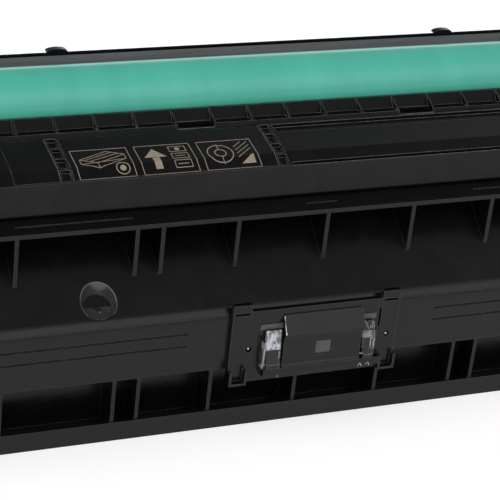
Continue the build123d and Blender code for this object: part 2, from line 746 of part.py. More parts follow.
def charger():
    """Soft charge roller with its shaft, bearing blocks and leaf springs."""
    with BuildPart() as charge_roller:
        with BuildSketch(section(0, CHARGE_AXIS)):
            Circle(CHARGE_RADIUS)
            Circle(CHARGE_SHAFT + SEAT, mode=Mode.SUBTRACT)
        extrude(amount=CHARGE_HALF, both=True)
    save(charge_roller, "charge_roller")

    shaft_half = DRUM_HALF
    with BuildPart() as charge_shaft:
        with BuildSketch(section(0, CHARGE_AXIS)):
            Circle(CHARGE_SHAFT)
        extrude(amount=shaft_half, both=True)
        chamfer(charge_shaft.edges().filter_by(GeomType.CIRCLE), CHARGE_CHAMFER)
    save(charge_shaft, "charge_shaft")

    block_start = CHARGE_HALF + CHARGE_BLOCK_GAP
    block_length = shaft_half - block_start
    half = CHARGE_BLOCK / 2
    with BuildPart() as charge_bearings:
        with BuildSketch(section(block_start), section(-block_start - block_length)):
            with Locations(CHARGE_AXIS):
                Rectangle(CHARGE_BLOCK, CHARGE_BLOCK)
                Circle(CHARGE_SHAFT + RUNNING, mode=Mode.SUBTRACT)
        extrude(amount=block_length)
    save(charge_bearings, "charge_bearings")

    with BuildPart() as charge_leaf_springs:
        with BuildSketch(section(block_start), section(-block_start - block_length)):
            Polygon(
                (CHARGE_AXIS[0] + half, CHARGE_AXIS[1] - half),
                (STEP_FRONT, CHARGE_AXIS[1] + half),
                (STEP_FRONT, CHARGE_AXIS[1] + half - 2 * CHARGE_SPRING_THICK),
                (CHARGE_AXIS[0] + half + CHARGE_SPRING_THICK, CHARGE_AXIS[1] - half),
                align=None,
            )
        extrude(amount=block_length)
    save(charge_leaf_springs, "charge_leaf_springs")


# Cleaning housing

def lid_seat(back):
    """Height of the housing's top, which falls towards the back."""
    return HOUSING_TOP - (back - HOUSING_FRONT) * math.tan(math.radians(LID_FALL))


def cleaning_housing():
    """Housing for waste toner behind the drum, with its lid, blade and blade bracket."""
    step_height = CHARGE_AXIS[1] + CHARGE_BLOCK / 2 + HOUSING_STEP_ROOM
    corner_in, corner_up = HOUSING_CORNER
    with BuildPart() as drum_frame:
        with BuildSketch(Plane.YZ) as shell:
            Polygon(
                at(HOUSING_FRONT, HOUSING_TOP),
                at(HOUSING_BACK, lid_seat(HOUSING_BACK)),
                at(HOUSING_BACK, HOUSING_LOW + corner_up),
                at(HOUSING_BACK - corner_in, HOUSING_LOW),
                (STEP_FRONT, HOUSING_LOW),
                (STEP_FRONT, step_height),
                at(HOUSING_FRONT, step_height),
                align=None,
            )
            lip = shell.vertices().sort_by_distance(at(HOUSING_FRONT, HOUSING_TOP))[0]
            fillet(lip, HOUSING_LIP_ROUND)
        extrude(amount=BODY_HALF, both=True)
        with BuildSketch(Plane.YZ):
            Polygon(
                at(HOUSING_FRONT + WALL, HOUSING_TOP),
                at(HOUSING_BACK - WALL, lid_seat(HOUSING_BACK - WALL) + EMBED),
                at(HOUSING_BACK - WALL, HOUSING_LOW + corner_up + EMBED),
                at(HOUSING_BACK - corner_in - EMBED, HOUSING_LOW + WALL),
                (STEP_FRONT + WALL, HOUSING_LOW + WALL),
                (STEP_FRONT + WALL, step_height + WALL),
                at(HOUSING_FRONT + WALL, step_height + WALL),
                align=None,
            )
        extrude(amount=BODY_HALF - WALL, both=True, mode=Mode.SUBTRACT)
        # Mouth through which the waste toner falls in
        with Locations((0, STEP_FRONT, CHARGE_AXIS[1])):
            Box(2 * CHARGE_HALF, 4 * WALL, MOUTH_HEIGHT, mode=Mode.SUBTRACT)
    save(drum_frame, "drum_frame")

    lid_front = HOUSING_FRONT + LID_SETBACK
    lid_edge = lid_seat(lid_front) + LID_THICK
    with BuildPart() as waste_lid:
        with BuildSketch(Plane.YZ):
            Polygon(
                at(lid_front, lid_seat(lid_front)),
                at(lid_front, lid_edge),
                at(HOUSING_BACK, lid_seat(HOUSING_BACK) + LID_THICK),
                at(HOUSING_BACK, lid_seat(HOUSING_BACK)),
                align=None,
            )
        extrude(amount=BODY_HALF, both=True)
        # Catches that stand up from the lid's front edge
        with BuildSketch(Plane(origin=(0, BELLY_Y + lid_front, 0), x_dir=(1, 0, 0), z_dir=(0, -1, 0))):
            with Locations(*[(x, lid_edge) for x in LUMP_XS]):
                Ellipse(LUMP_HALF, LUMP_RISE)
        extrude(amount=-LUMP_DEPTH)
    save(waste_lid, "waste_lid")

    bracket_top = HOUSING_TOP - BRACKET_DROP
    bracket_low = step_height + EMBED
    y, z = at(HOUSING_FRONT - PLATE_THICK / 2, (bracket_top + bracket_low) / 2)
    screw_pitch = 2 * CHARGE_HALF / BLADE_SCREW_COUNT
    front_plane = Plane(origin=(0, BELLY_Y + HOUSING_FRONT, z + EMBED), x_dir=(1, 0, 0), z_dir=(0, -1, 0))
    with BuildPart() as blade_bracket:
        with Locations((0, y, z)):
            Box(2 * CHARGE_HALF, PLATE_THICK, bracket_top - bracket_low)
        with BuildSketch(front_plane):
            with GridLocations(screw_pitch, 0, BLADE_SCREW_COUNT, 1):
                Circle(BLADE_SCREW_RADIUS + RUNNING)
        extrude(amount=2 * PLATE_THICK, mode=Mode.SUBTRACT)
    save(blade_bracket, "blade_bracket")

    with BuildPart() as blade_screws:
        with BuildSketch(front_plane):
            with GridLocations(screw_pitch, 0, BLADE_SCREW_COUNT, 1):
                Circle(BLADE_SCREW_RADIUS)
        extrude(amount=PLATE_THICK)
        with BuildSketch(front_plane.offset(PLATE_THICK)):
            with GridLocations(screw_pitch, 0, BLADE_SCREW_COUNT, 1):
                Circle(BLADE_SCREW_HEAD)
        extrude(amount=BLADE_SCREW_HEAD_THICK)
    save(blade_screws, "blade_screws")

    plate_face = HOUSING_FRONT - PLATE_THICK
    tip = DRUM_RADIUS + ROLLER_GAP
    low, high = BLADE_SEAT
    with BuildPart() as cleaning_blade:
        with BuildSketch(Plane.YZ):
            Polygon(
                at(plate_face, bracket_low + high),
                around(DRUM_AXIS, tip + ROLLER_GAP, BLADE_TOP_ANGLE),
                around(DRUM_AXIS, tip, BLADE_TIP_ANGLE),
                around(DRUM_AXIS, tip + DOCTOR_THICK, BLADE_TIP_ANGLE - BLADE_TIP_SPAN),
                at(plate_face, bracket_low + low),
                align=None,
            )
        extrude(amount=CHARGE_HALF, both=True)
    save(cleaning_blade, "cleaning_blade")


# Developer roller

def developer():
    """Developer sleeve round its magnet, with its flanges, bushes and metering blade."""
    inner = SLEEVE_RADIUS - SLEEVE_WALL
    with BuildPart() as developer_sleeve:
        with BuildSketch(section(0, SLEEVE_AXIS)):
            Circle(SLEEVE_RADIUS)
            Circle(inner, mode=Mode.SUBTRACT)
        extrude(amount=SLEEVE_HALF, both=True)
    save(developer_sleeve, "developer_sleeve")

    shaft_end = PLATE_FACE + CORE_SHAFT_PROUD
    with BuildPart() as magnet_core:
        with BuildSketch(section(0, SLEEVE_AXIS)):
            Circle(inner - CORE_GAP)
        extrude(amount=SLEEVE_HALF - SLEEVE_PLUG - EMBED, both=True)
        with BuildSketch(section(-shaft_end, SLEEVE_AXIS)):
            Circle(CORE_SHAFT)
        extrude(amount=shaft_end + SLEEVE_HALF - SLEEVE_PLUG / 2)
    save(magnet_core, "magnet_core")

    with BuildPart() as developer_gear:
        with BuildSketch(section(SLEEVE_HALF - SLEEVE_PLUG, SLEEVE_AXIS)):
            Circle(inner - SEAT)
        extrude(amount=SLEEVE_PLUG)
        with BuildSketch(section(SLEEVE_HALF, SLEEVE_AXIS)):
            Circle(JOURNAL_RADIUS)
        extrude(amount=GEAR_START - SLEEVE_HALF)
        extrude(gear_face(SLEEVE_TEETH, SLEEVE_AXIS, SLEEVE_PHASE), amount=GEAR_WIDTH)
        with BuildSketch(section(SLEEVE_HALF - SLEEVE_PLUG, SLEEVE_AXIS)):
            Circle(CORE_SHAFT + RUNNING)
        extrude(amount=SLEEVE_PLUG / 2 + EMBED, mode=Mode.SUBTRACT)
    save(developer_gear, "developer_gear")

    with BuildPart() as developer_hub:
        with BuildSketch(section(-SLEEVE_HALF, SLEEVE_AXIS)):
            Circle(inner - SEAT)
        extrude(amount=SLEEVE_PLUG)
        with BuildSketch(section(-PLATE_FACE, SLEEVE_AXIS)):
            Circle(JOURNAL_RADIUS)
        extrude(amount=PLATE_FACE - SLEEVE_HALF)
        with BuildSketch(section(-PLATE_FACE, SLEEVE_AXIS)):
            Circle(CORE_SHAFT + RUNNING)
        extrude(amount=PLATE_FACE, mode=Mode.SUBTRACT)
    save(developer_hub, "developer_hub")

    with BuildPart() as developer_bearings:
        with BuildSketch(section(BODY_HALF - WALL, SLEEVE_AXIS), section(-BODY_HALF, SLEEVE_AXIS)):
            Circle(BUSH_RADIUS)
            Circle(JOURNAL_RADIUS + RUNNING, mode=Mode.SUBTRACT)
        extrude(amount=WALL)
    save(developer_bearings, "developer_bearings")

    blade_back = SLEEVE_AXIS[0] - SLEEVE_RADIUS - ROLLER_GAP
    under_step = STEP_HEIGHT - WALL
    with BuildPart() as doctor_bracket:
        with BuildSketch(Plane.YZ):
            Polygon(
                at(ROOF_BACK - WALL, under_step),
                (blade_back - DOCTOR_THICK, under_step),
                (blade_back - DOCTOR_THICK, under_step - PLATE_THICK - DOCTOR_SEAT),
                (blade_back - DOCTOR_THICK - PLATE_THICK, under_step - PLATE_THICK - DOCTOR_SEAT),
                (blade_back - DOCTOR_THICK - PLATE_THICK, under_step - PLATE_THICK),
                at(ROOF_BACK - WALL, under_step - PLATE_THICK),
                align=None,
            )
        extrude(amount=SLEEVE_HALF - EMBED, both=True)
    save(doctor_bracket, "doctor_bracket")

    with BuildPart() as doctor_blade:
        with BuildSketch(Plane.YZ):
            Polygon(
                (blade_back - DOCTOR_THICK, under_step),
                (blade_back, under_step),
                (blade_back, SLEEVE_AXIS[1] - DOCTOR_SEAT),
                (blade_back - DOCTOR_THICK, SLEEVE_AXIS[1] - DOCTOR_SEAT - EMBED),
                align=None,
            )
        extrude(amount=SLEEVE_HALF - EMBED, both=True)
    save(doctor_blade, "doctor_blade")


# Agitator and idler

def agitator():
    """Shaft that stirs the toner with a thin film, and the gears that drive it."""
    with BuildPart() as agitator_shaft:
        with BuildSketch(section(-BODY_HALF, AGITATOR_AXIS)):
            Circle(AGITATOR_SHAFT)
        extrude(amount=BODY_HALF + GEAR_START)
        with BuildSketch(section(0, AGITATOR_AXIS)):
            Rectangle(2 * AGITATOR_SHAFT + AGITATOR_PADDLE, 2 * FILM_THICK)
        extrude(amount=SLEEVE_HALF - 2 * EMBED, both=True)
    save(agitator_shaft, "agitator_shaft")

    with BuildPart() as agitator_film:
        with BuildSketch(section(0, AGITATOR_AXIS)):
            with Locations(((AGITATOR_REACH + FILM_START) / 2, 1.5 * FILM_THICK)):
                Rectangle(AGITATOR_REACH - FILM_START, FILM_THICK)
        extrude(amount=SLEEVE_HALF - 4 * EMBED, both=True)
    save(agitator_film, "agitator_film")

    with BuildPart() as agitator_gear:
        extrude(gear_face(AGITATOR_TEETH, AGITATOR_AXIS, AGITATOR_PHASE), amount=GEAR_WIDTH)
    save(agitator_gear, "agitator_gear")

    with BuildPart() as idler_gear:
        extrude(gear_face(IDLER_TEETH, IDLER_AXIS, IDLER_PHASE), amount=GEAR_WIDTH)
        with BuildSketch(section(GEAR_START, IDLER_AXIS)):
            Circle(IDLER_PIN + RUNNING)
        extrude(amount=GEAR_WIDTH, mode=Mode.SUBTRACT)
    save(idler_gear, "idler_gear")

    with BuildPart() as idler_pin:
        with BuildSketch(section(PLATE_FACE, IDLER_AXIS)):
            Circle(IDLER_PIN)
        extrude(amount=GEAR_END - PLATE_FACE + PIN_LIP_THICK)
        with BuildSketch(section(GEAR_END + SHAFT_ROOM, IDLER_AXIS)):
            Circle(IDLER_PIN + IDLER_PIN_LIP)
        extrude(amount=PIN_LIP_THICK)
    save(idler_pin, "idler_pin")


# Ends of the cartridge

def cap_face(place, inset=0.0):
    """Rounded outline of the end caps at a place along the cartridge, drawn in by an inset."""
    with BuildSketch(section(place)) as face:
        Polygon(
            at(0, 0),
            at(0, BELLY_TOP + 2 * CAP_OVER),
            at(FLANGE_BACK, FLANGE_TOP + CAP_OVER),
            at(COVER_BACK - CAP_OVER, BAND_TOP + CAP_OVER),
            at(ROOF_BACK, ROOF_TOP + 2 * CAP_OVER),
            at(DRUM_BACK - DRUM_RADIUS - 2 * CAP_OVER, HEIGHT),
            at(HOUSING_BACK, HEIGHT),
            at(HOUSING_BACK, HOUSING_LOW),
            at(HOPPER_BACK + 3 * CAP_OVER, 0),
            align=None,
        )
        if inset:
            offset(amount=-inset, kind=Kind.INTERSECTION, mode=Mode.REPLACE)
        else:
            fillet(face.vertices(), CAP_ROUND)
    return face.sketch


def screw_sites():
    """Where the cap screws sit in the cross-section."""
    low_back, low_height = LOW_SCREW
    inset, drop = HIGH_SCREW
    return [at(low_back, low_height), at(HOUSING_BACK - inset, HOUSING_TOP - drop)]


def side_plate(side):
    """Flat plate between the body's end and the end cap, on the side given by its sign."""
    start = BODY_HALF if side > 0 else -PLATE_FACE
    with BuildPart() as plate:
        extrude(cap_face(start), amount=SIDE_PLATE)
        with BuildSketch(section(start)):
            with Locations(DRUM_AXIS):
                Circle(NECK_RADIUS + SHAFT_ROOM if side > 0 else PIN_RADIUS + SEAT)
            with Locations(SLEEVE_AXIS):
                Circle(JOURNAL_RADIUS + SHAFT_ROOM)
            if side > 0:
                with Locations(AGITATOR_AXIS):
                    Circle(AGITATOR_SHAFT + SHAFT_ROOM)
            with Locations(*screw_sites()):
                Circle(SCREW_RADIUS + SEAT)
        extrude(amount=SIDE_PLATE, mode=Mode.SUBTRACT)
    save(plate, "side_plate_right" if side > 0 else "side_plate_left")


def end_cap(side):
    """Moulded cap over the gears or contacts, with a guide boss and an insertion rail."""
    outer_face = section(side * PLATE_FACE)
    depth = side * (CAP_FACE - PLATE_FACE)
    with BuildPart() as cap:
        extrude(cap_face(side * PLATE_FACE), amount=depth)
        rim = cap.faces().filter_by(Axis.X).sort_by(Axis.X)[-1 if side > 0 else 0]
        chamfer(rim.edges(), CAP_EDGE)
        extrude(cap_face(side * PLATE_FACE, WALL), amount=depth - side * WALL, mode=Mode.SUBTRACT)
        with BuildSketch(outer_face):
            with Locations(*screw_sites()):
                Circle(SCREW_POST)
        extrude(amount=depth)
        with BuildSketch(section(side * (CAP_FACE - 2 * BOSS_PROUD), DRUM_AXIS)):
            Circle(BOSS_RADIUS)
        extrude(amount=side * 3 * BOSS_PROUD)
        with BuildSketch(section(side * (CAP_FACE - EMBED))):
            with Locations(at(HOPPER_BACK - RAIL_SETBACK, STEP_HEIGHT - RAIL_DROP)):
                SlotOverall(RAIL_LENGTH, RAIL_WIDTH)
        extrude(amount=side * (RAIL_PROUD + EMBED))
        bore = COUPLING_RADIUS + RUNNING if side > 0 else PIN_RADIUS + SEAT
        with BuildSketch(outer_face):
            with Locations(DRUM_AXIS):
                Circle(bore)
            with Locations(*screw_sites()):
                Circle(SCREW_RADIUS + SEAT)
        extrude(amount=side * CAP_DEPTH * 2, mode=Mode.SUBTRACT)
        if side < 0:
            with BuildSketch(section(-PLATE_FACE, SLEEVE_AXIS)):
                Circle(2 * CORE_SHAFT)
            extrude(amount=depth)
            with BuildSketch(section(-PLATE_FACE, SLEEVE_AXIS)):
                Circle(CORE_SHAFT + SEAT)
            extrude(amount=-CORE_SOCKET, mode=Mode.SUBTRACT)
    save(cap, "end_cap_right" if side > 0 else "end_cap_left")


def end_fittings():
    """Screws of both caps, contact plates and the memory chip's board."""
    with BuildPart() as cap_screws:
        for side in (-1, 1):
            with BuildSketch(section(side * BODY_HALF)):
                with Locations(*screw_sites()):
                    Circle(SCREW_RADIUS)
            extrude(amount=side * (CAP_FACE - BODY_HALF))
            with BuildSketch(section(side * CAP_FACE)):
                with Locations(*screw_sites()):
                    Circle(SCREW_HEAD)
            extrude(amount=side * SCREW_HEAD_THICK)
    save(cap_screws, "cap_screws")

    with BuildPart() as contact_plates:
        with BuildSketch(section(-CAP_FACE)):
            with Locations(at(HOPPER_BACK - CONTACT_SETBACK, STEP_HEIGHT - RAIL_DROP - CONTACT_DROP)):
                with GridLocations(CONTACT_PITCH, 0, 3, 1):
                    Rectangle(*CONTACT_SIZE)
        extrude(amount=-CONTACT_THICK)
    save(contact_plates, "contact_plates")

    chip_place = at(HOUSING_BACK - CHIP_INSET, HOUSING_LOW + CHIP_RAISE)
    with BuildPart() as chip_board:
        with BuildSketch(section(-CAP_FACE)):
            with Locations(chip_place):
                Rectangle(*CHIP_SIZE)
        extrude(amount=-CHIP_THICK)
        with BuildSketch(section(-CAP_FACE - CHIP_THICK)):
            with Locations(chip_place):
                with GridLocations(0, CHIP_PAD_PITCH, 1, 3):
                    Rectangle(*CHIP_PAD)
        extrude(amount=-CHIP_PAD_THICK)
    save(chip_board, "chip_board")


# Toner sensor

def sensor():
    """Plate on the belly with its hood, prisms, window and the grey pads behind the prisms."""
    face = Plane(origin=(0, BELLY_Y, 0), x_dir=(1, 0, 0), z_dir=(0, -1, 0))
    mid_height = (SENSOR_LOW + SENSOR_TOP) / 2
    left_prism_x = HOOD_X - HOOD_HALF - PRISM_GAP - LEFT_PRISM_WIDTH / 2
    right_prism_x = HOOD_X + HOOD_HALF + PRISM_GAP + RIGHT_PRISM_WIDTH / 2
    pad_height = PRISM_TOP + RUNNING + PAD_HEIGHT / 2
    slot_x = right_prism_x + RIGHT_PRISM_WIDTH / 2 + 2 * BEAM_SLOT[0]
    tab_x = SENSOR_HALF - TAB_WIDTH / 2
    front = -SENSOR_THICK - PRISM_PROUD
    with BuildPart() as sensor_frame:
        with BuildSketch(face):
            with Locations((0, mid_height)):
                Rectangle(2 * SENSOR_HALF, SENSOR_TOP - SENSOR_LOW)
            with Locations((-tab_x, SENSOR_TOP), (tab_x, SENSOR_TOP)):
                Rectangle(TAB_WIDTH, 2 * TAB_RISE)
            with Locations((-tab_x, SENSOR_TOP - TAB_SLOT[1]), (tab_x, SENSOR_TOP - TAB_SLOT[1])):
                Rectangle(*TAB_SLOT, mode=Mode.SUBTRACT)
            with Locations((slot_x, PRISM_TOP)):
                Rectangle(*BEAM_SLOT, mode=Mode.SUBTRACT)
        extrude(amount=SENSOR_THICK)
        # Tray that carries the prisms and the hood's lower edge
        with BuildSketch(section(TRAY_X)):
            Polygon(
                at(-SENSOR_THICK + EMBED, TRAY_TOP),
                at(front, TRAY_TOP),
                at(front, TRAY_TOP - TRAY_LIP),
                at(-SENSOR_THICK, SENSOR_LOW + WALL),
                at(-SENSOR_THICK + EMBED, SENSOR_LOW + WALL),
                align=None,
            )
        extrude(amount=TRAY_HALF, both=True)
        # Feet, each a pocket with a lip below
        foot_x = SENSOR_HALF - FOOT_WIDTH / 2
        foot_z = SENSOR_LOW + FOOT_HEIGHT / 2
        with BuildSketch(face.offset(SENSOR_THICK - EMBED)):
            with Locations((-foot_x, foot_z), (foot_x, foot_z)):
                Rectangle(FOOT_WIDTH, FOOT_HEIGHT)
        extrude(amount=FOOT_PROUD + EMBED)
        with BuildSketch(face.offset(SENSOR_THICK)):
            with Locations((-foot_x, foot_z + FOOT_WALL), (foot_x, foot_z + FOOT_WALL)):
                Rectangle(FOOT_WIDTH - 2 * FOOT_WALL, FOOT_HEIGHT)
        extrude(amount=FOOT_PROUD, mode=Mode.SUBTRACT)
        with BuildSketch(face.offset(SENSOR_THICK)):
            with Locations(*PIN_PLACES):
                Circle(PIN_HOLE)
        extrude(amount=-PIN_HOLE_DEPTH, mode=Mode.SUBTRACT)
    save(sensor_frame, "sensor_frame")

    with BuildPart() as sensor_hood:
        with BuildSketch(section(HOOD_X)):
            Polygon(
                at(-SENSOR_THICK, HOOD_TOP),
                at(-SENSOR_THICK - HOOD_FALL / 4, HOOD_TOP),
                at(-HOOD_PROUD, HOOD_CREASE + HOOD_FALL / 2),
                at(-HOOD_PROUD, HOOD_CREASE),
                at(-HOOD_PROUD + HOOD_FALL, HOOD_CREASE - HOOD_FALL / 2),
                at(-HOOD_PROUD + HOOD_FALL, TRAY_TOP),
                at(-SENSOR_THICK, TRAY_TOP),
                align=None,
            )
        extrude(amount=HOOD_HALF, both=True)
        with BuildSketch(face.offset(HOOD_PROUD - HOOD_FALL)):
            with Locations((WINDOW_X, WINDOW_HEIGHT)):
                Rectangle(*WINDOW_SIZE)
        extrude(amount=-WINDOW_SINK, mode=Mode.SUBTRACT)
    save(sensor_hood, "sensor_hood")

    with BuildPart() as sensor_window:
        with BuildSketch(face.offset(HOOD_PROUD - HOOD_FALL - WINDOW_SINK)):
            with Locations((WINDOW_X, WINDOW_HEIGHT)):
                Rectangle(WINDOW_SIZE[0] - 2 * SEAT, WINDOW_SIZE[1] - 2 * SEAT)
        extrude(amount=WINDOW_THICK)
    save(sensor_window, "sensor_window")

    prisms = (
        ("light_guide_left", left_prism_x, LEFT_PRISM_WIDTH),
        ("light_guide_right", right_prism_x, RIGHT_PRISM_WIDTH),
    )
    for name, x, width in prisms:
        with BuildPart() as light_guide:
            with BuildSketch(section(x)):
                Polygon(
                    at(-SENSOR_THICK, TRAY_TOP),
                    at(front, TRAY_TOP),
                    at(front, PRISM_TOP - PRISM_FACET),
                    at(front + PRISM_FACET / 2, PRISM_TOP),
                    at(-SENSOR_THICK, PRISM_TOP),
                    align=None,
                )
            extrude(amount=width / 2, both=True)
        save(light_guide, name)

    with BuildPart() as backing_pads:
        with BuildSketch(face.offset(SENSOR_THICK)):
            with Locations((left_prism_x, pad_height)):
                Rectangle(LEFT_PRISM_WIDTH + 2 * EMBED, PAD_HEIGHT)
            with Locations((right_prism_x, pad_height)):
                Rectangle(RIGHT_PRISM_WIDTH, PAD_HEIGHT)
        extrude(amount=PAD_THICK)
    save(backing_pads, "backing_pads")


def main():
    os.makedirs("parts", exist_ok=True)
    hopper()
    fill_plug_piece()
    cover()
    guide_strip()
    drum()
    charger()
    cleaning_housing()
    developer()
    agitator()
    for side in (-1, 1):
        side_plate(side)
        end_cap(side)
    end_fittings()
    sensor()


main()
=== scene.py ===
"""Finishes, printed panels, sensor optics and studio for the toner cartridge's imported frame.

Everything is in metres: X along the cartridge, Y from the belly to the cleaning housing, Z up.
"""
import json
import math
import bmesh
import bpy
from bpy.props import FloatProperty, FloatVectorProperty, PointerProperty
from bpy.types import Operator, Panel, PropertyGroup
from mathutils import Matrix, Vector


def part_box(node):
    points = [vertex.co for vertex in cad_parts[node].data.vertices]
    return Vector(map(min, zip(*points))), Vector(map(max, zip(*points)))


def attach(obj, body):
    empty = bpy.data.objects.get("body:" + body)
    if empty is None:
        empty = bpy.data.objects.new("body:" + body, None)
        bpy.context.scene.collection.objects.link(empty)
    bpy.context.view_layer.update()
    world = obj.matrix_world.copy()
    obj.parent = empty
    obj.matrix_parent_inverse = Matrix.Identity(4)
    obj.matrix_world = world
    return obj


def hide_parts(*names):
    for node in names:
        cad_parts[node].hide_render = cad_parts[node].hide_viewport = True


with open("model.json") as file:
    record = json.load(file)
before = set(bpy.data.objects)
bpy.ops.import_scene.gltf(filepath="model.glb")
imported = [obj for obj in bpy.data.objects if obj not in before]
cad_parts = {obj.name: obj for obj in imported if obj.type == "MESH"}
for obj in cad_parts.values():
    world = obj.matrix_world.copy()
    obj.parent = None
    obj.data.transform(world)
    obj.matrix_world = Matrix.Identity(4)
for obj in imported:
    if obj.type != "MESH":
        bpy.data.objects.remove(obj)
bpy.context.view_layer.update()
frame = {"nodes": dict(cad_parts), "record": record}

bl_info = {
    "name": "Toner Cartridge Finish",
    "version": (1, 0, 0),
    "blender": (4, 5, 0),
    "location": "3D View > Sidebar > Cartridge",
    "description": "Dresses the cartridge's frame and sets its studio",
    "category": "Object",
}

MM = 0.001
NODES = frame["nodes"]
SLOT_OF = {part["node"]: part["material_slot"] for part in frame["record"]["subparts"]}
BELLY_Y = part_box("hopper_body")[0].y
WHITE = (1.0, 1.0, 1.0, 1.0)

# Which way each wall of light lies along its axis, the heights in degrees above the horizon at which the
# walls' levels are set (the ceiling is the last), and the brightest level that a colour ramp has to hold
WALLS = {"front": -1.0, "back": 1.0, "left": -1.0, "right": 1.0}
WALL_HEIGHTS = (0, 12, 25, 40, 60, 90)
WALL_PEAK = 4.0

# Keeps the walls' shares from dividing by nothing straight above
NEARLY_UPRIGHT = 0.0001

ROUND_SEGMENTS = 64


# Settings

def colour_setting(name, description, default):
    return FloatVectorProperty(
        name=name, description=description, default=default, subtype="COLOR", size=3, min=0.0, max=1.0
    )


def length_setting(name, description, default):
    return FloatProperty(name=name, description=description, default=default, unit="LENGTH", precision=5)


def angle_setting(name, description, degrees):
    return FloatProperty(
        name=name, description=description, default=math.radians(degrees), subtype="ANGLE"
    )


def wall_setting(name, levels):
    return FloatVectorProperty(
        name=name, description="Brightness at each of the wall's heights", default=levels, size=5, min=0.0
    )


class CartridgeColours(PropertyGroup):
    """Colours of the mouldings, the drum and the fittings."""
    moulding: colour_setting("Moulding", "Black of the hopper and the housings", (0.0030, 0.0030, 0.0033))
    cover: colour_setting("Cover", "Black of the upper cover", (0.0030, 0.0030, 0.0033))
    # The light edge colour is a painted highlight along the mouldings' edges, where their rounding catches
    # light.
    edge_highlight: colour_setting("Light edge", "Grey line along the mouldings' edges", (0.17, 0.17, 0.175))
    drum: colour_setting("Drum coating", "Green of the photoconductor", (0.078, 0.44, 0.338))
    ink: colour_setting("Panel ink", "Beige of the printed panels", (0.31, 0.252, 0.188))
    acetal: colour_setting("Acetal", "Off-white of the gears and bushes", (0.68, 0.66, 0.60))
    steel: colour_setting("Steel", "Shafts, brackets and screws", (0.56, 0.57, 0.58))
    rubber: colour_setting("Rubber", "Charge roller and wiping blades", (0.035, 0.035, 0.037))
    sleeve: colour_setting("Sleeve", "Blasted developer sleeve", (0.20, 0.20, 0.21))
    pad: colour_setting("Grey pads", "Pads and window of the toner sensor", (0.055, 0.055, 0.057))
    # The gate's black is about ten times lighter than the moulding's: besides its real gloss, a painted
    # reflection on the bowl's wall.
    gate: colour_setting("Gate", "Polished black in the moulding gate", (0.032, 0.032, 0.034))
    # Painted reflection: this grey stands in for the backdrop mirrored in the housing's glossy black lip.
    foil: colour_setting("Lip reflection", "Grey painted reflection along the housing's lip", (0.150, 0.136, 0.150))
    board: colour_setting("Board", "Lacquer of the memory chip's board", (0.02, 0.16, 0.06))
    contact: colour_setting("Contacts", "Plated contact faces", (0.75, 0.62, 0.36))


class CartridgePrint(PropertyGroup):
    """Sizes of the three printed panels on the cover."""
    line: length_setting("Line", "Width of a printed line", 0.31 * MM)
    ink_rise: length_setting("Ink thickness", "How far the ink stands off the cover", 0.05 * MM)
    first: length_setting("First panel", "Left edge of the first panel along the cartridge", -99.2 * MM)
    pitch: length_setting("Pitch", "From one panel to the next", 28.6 * MM)
    width: length_setting("Width", "Size of a panel along the cartridge", 25.0 * MM)
    front: length_setting("Front edge", "Front of the panels, behind the belly", 35.4 * MM)
    depth: length_setting("Depth", "Size of a panel from front to back", 18.0 * MM)
    bend: length_setting("Bend", "Where the cover bends, behind the belly", 41.5 * MM)


class CartridgeDetails(PropertyGroup):
    """Places and sizes of the insert in the moulding gate and of the grey strip on the housing's lip, a
    painted reflection.
    """
    gate_x: length_setting("Gate along X", "Middle of the moulding gate along the cartridge", -96.5 * MM)
    gate_back: length_setting("Gate back", "Middle of the gate behind the belly", 9.5 * MM)
    gate_radius: length_setting("Gate radius", "Radius of the gate's recess", 8.0 * MM)
    gate_roof: length_setting("Gate roof", "A height between the gate and the weld flange over it", 92.5 * MM)
    gate_tilt: angle_setting("Gate tilt", "Lean of the gate's axis towards the front", 12.0)
    gate_depth: length_setting("Gate depth", "Depth of the recess along its axis", 5.3 * MM)
    gate_floor: length_setting("Gate floor", "Thickness of the insert's floor", 0.45 * MM)
    lip_front: length_setting("Lip front", "Front of the cleaning housing behind the belly", 113.5 * MM)
    strip_thick: length_setting("Strip thickness", "How far the strip stands off the lip", 0.12 * MM)
    strip_width: length_setting("Strip width", "Height of the strip", 5.4 * MM)
    strip_drop: length_setting("Strip drop", "From the housing's top down to the strip", -0.55 * MM)


class CartridgeSensor(PropertyGroup):
    """Sizes of the optical toner sensor's small pieces."""
    edge: length_setting("Prism edge", "Rounding of the prisms' edges", 0.25 * MM)
    pin: length_setting("Pin radius", "Locating pins of the sensor plate", 0.55 * MM)
    pin_left: length_setting("Left pin", "Place of the left pin along the cartridge", -30.8 * MM)
    pin_right: length_setting("Right pin", "Place of the right pin along the cartridge", 35.1 * MM)
    pin_height: length_setting("Pin height", "Height of both pins", 40.4 * MM)


class CartridgeStudio(PropertyGroup):
    """Camera and light of the picture."""
    azimuth: angle_setting("Azimuth", "Turn of the camera's view to the right of +Y", 24.58)
    elevation: angle_setting("Elevation", "How steeply the camera looks down", 27.70)
    roll: angle_setting("Roll", "Turn of the camera about its own axis", 6.66)
    distance: length_setting("Distance", "From the camera to the aimed point", 0.840)
    aim: FloatVectorProperty(
        name="Aim", description="Point in the middle of the picture",
        default=(-0.0243, -0.0453, 0.0753), size=3, subtype="TRANSLATION", unit="LENGTH",
    )
    lens: FloatProperty(name="Lens", description="Focal length in millimetres", default=139.18)
    front: wall_setting("Front wall", (0.30, 1.30, 1.90, 1.90, 0.45))
    back: wall_setting("Back wall", (1.10, 1.60, 0.05, 0.02, 0.05))
    left: wall_setting("Left wall", (0.80, 1.40, 1.90, 2.00, 1.20))
    right: wall_setting("Right wall", (0.80, 1.50, 0.95, 0.70, 0.15))
    ceiling: FloatProperty(name="Ceiling", description="Brightness straight above", default=0.20)
    floor_glow: FloatProperty(
        name="Floor glow", description="Light that the floor adds to its own shade", default=0.42
    )


# Small tools for materials

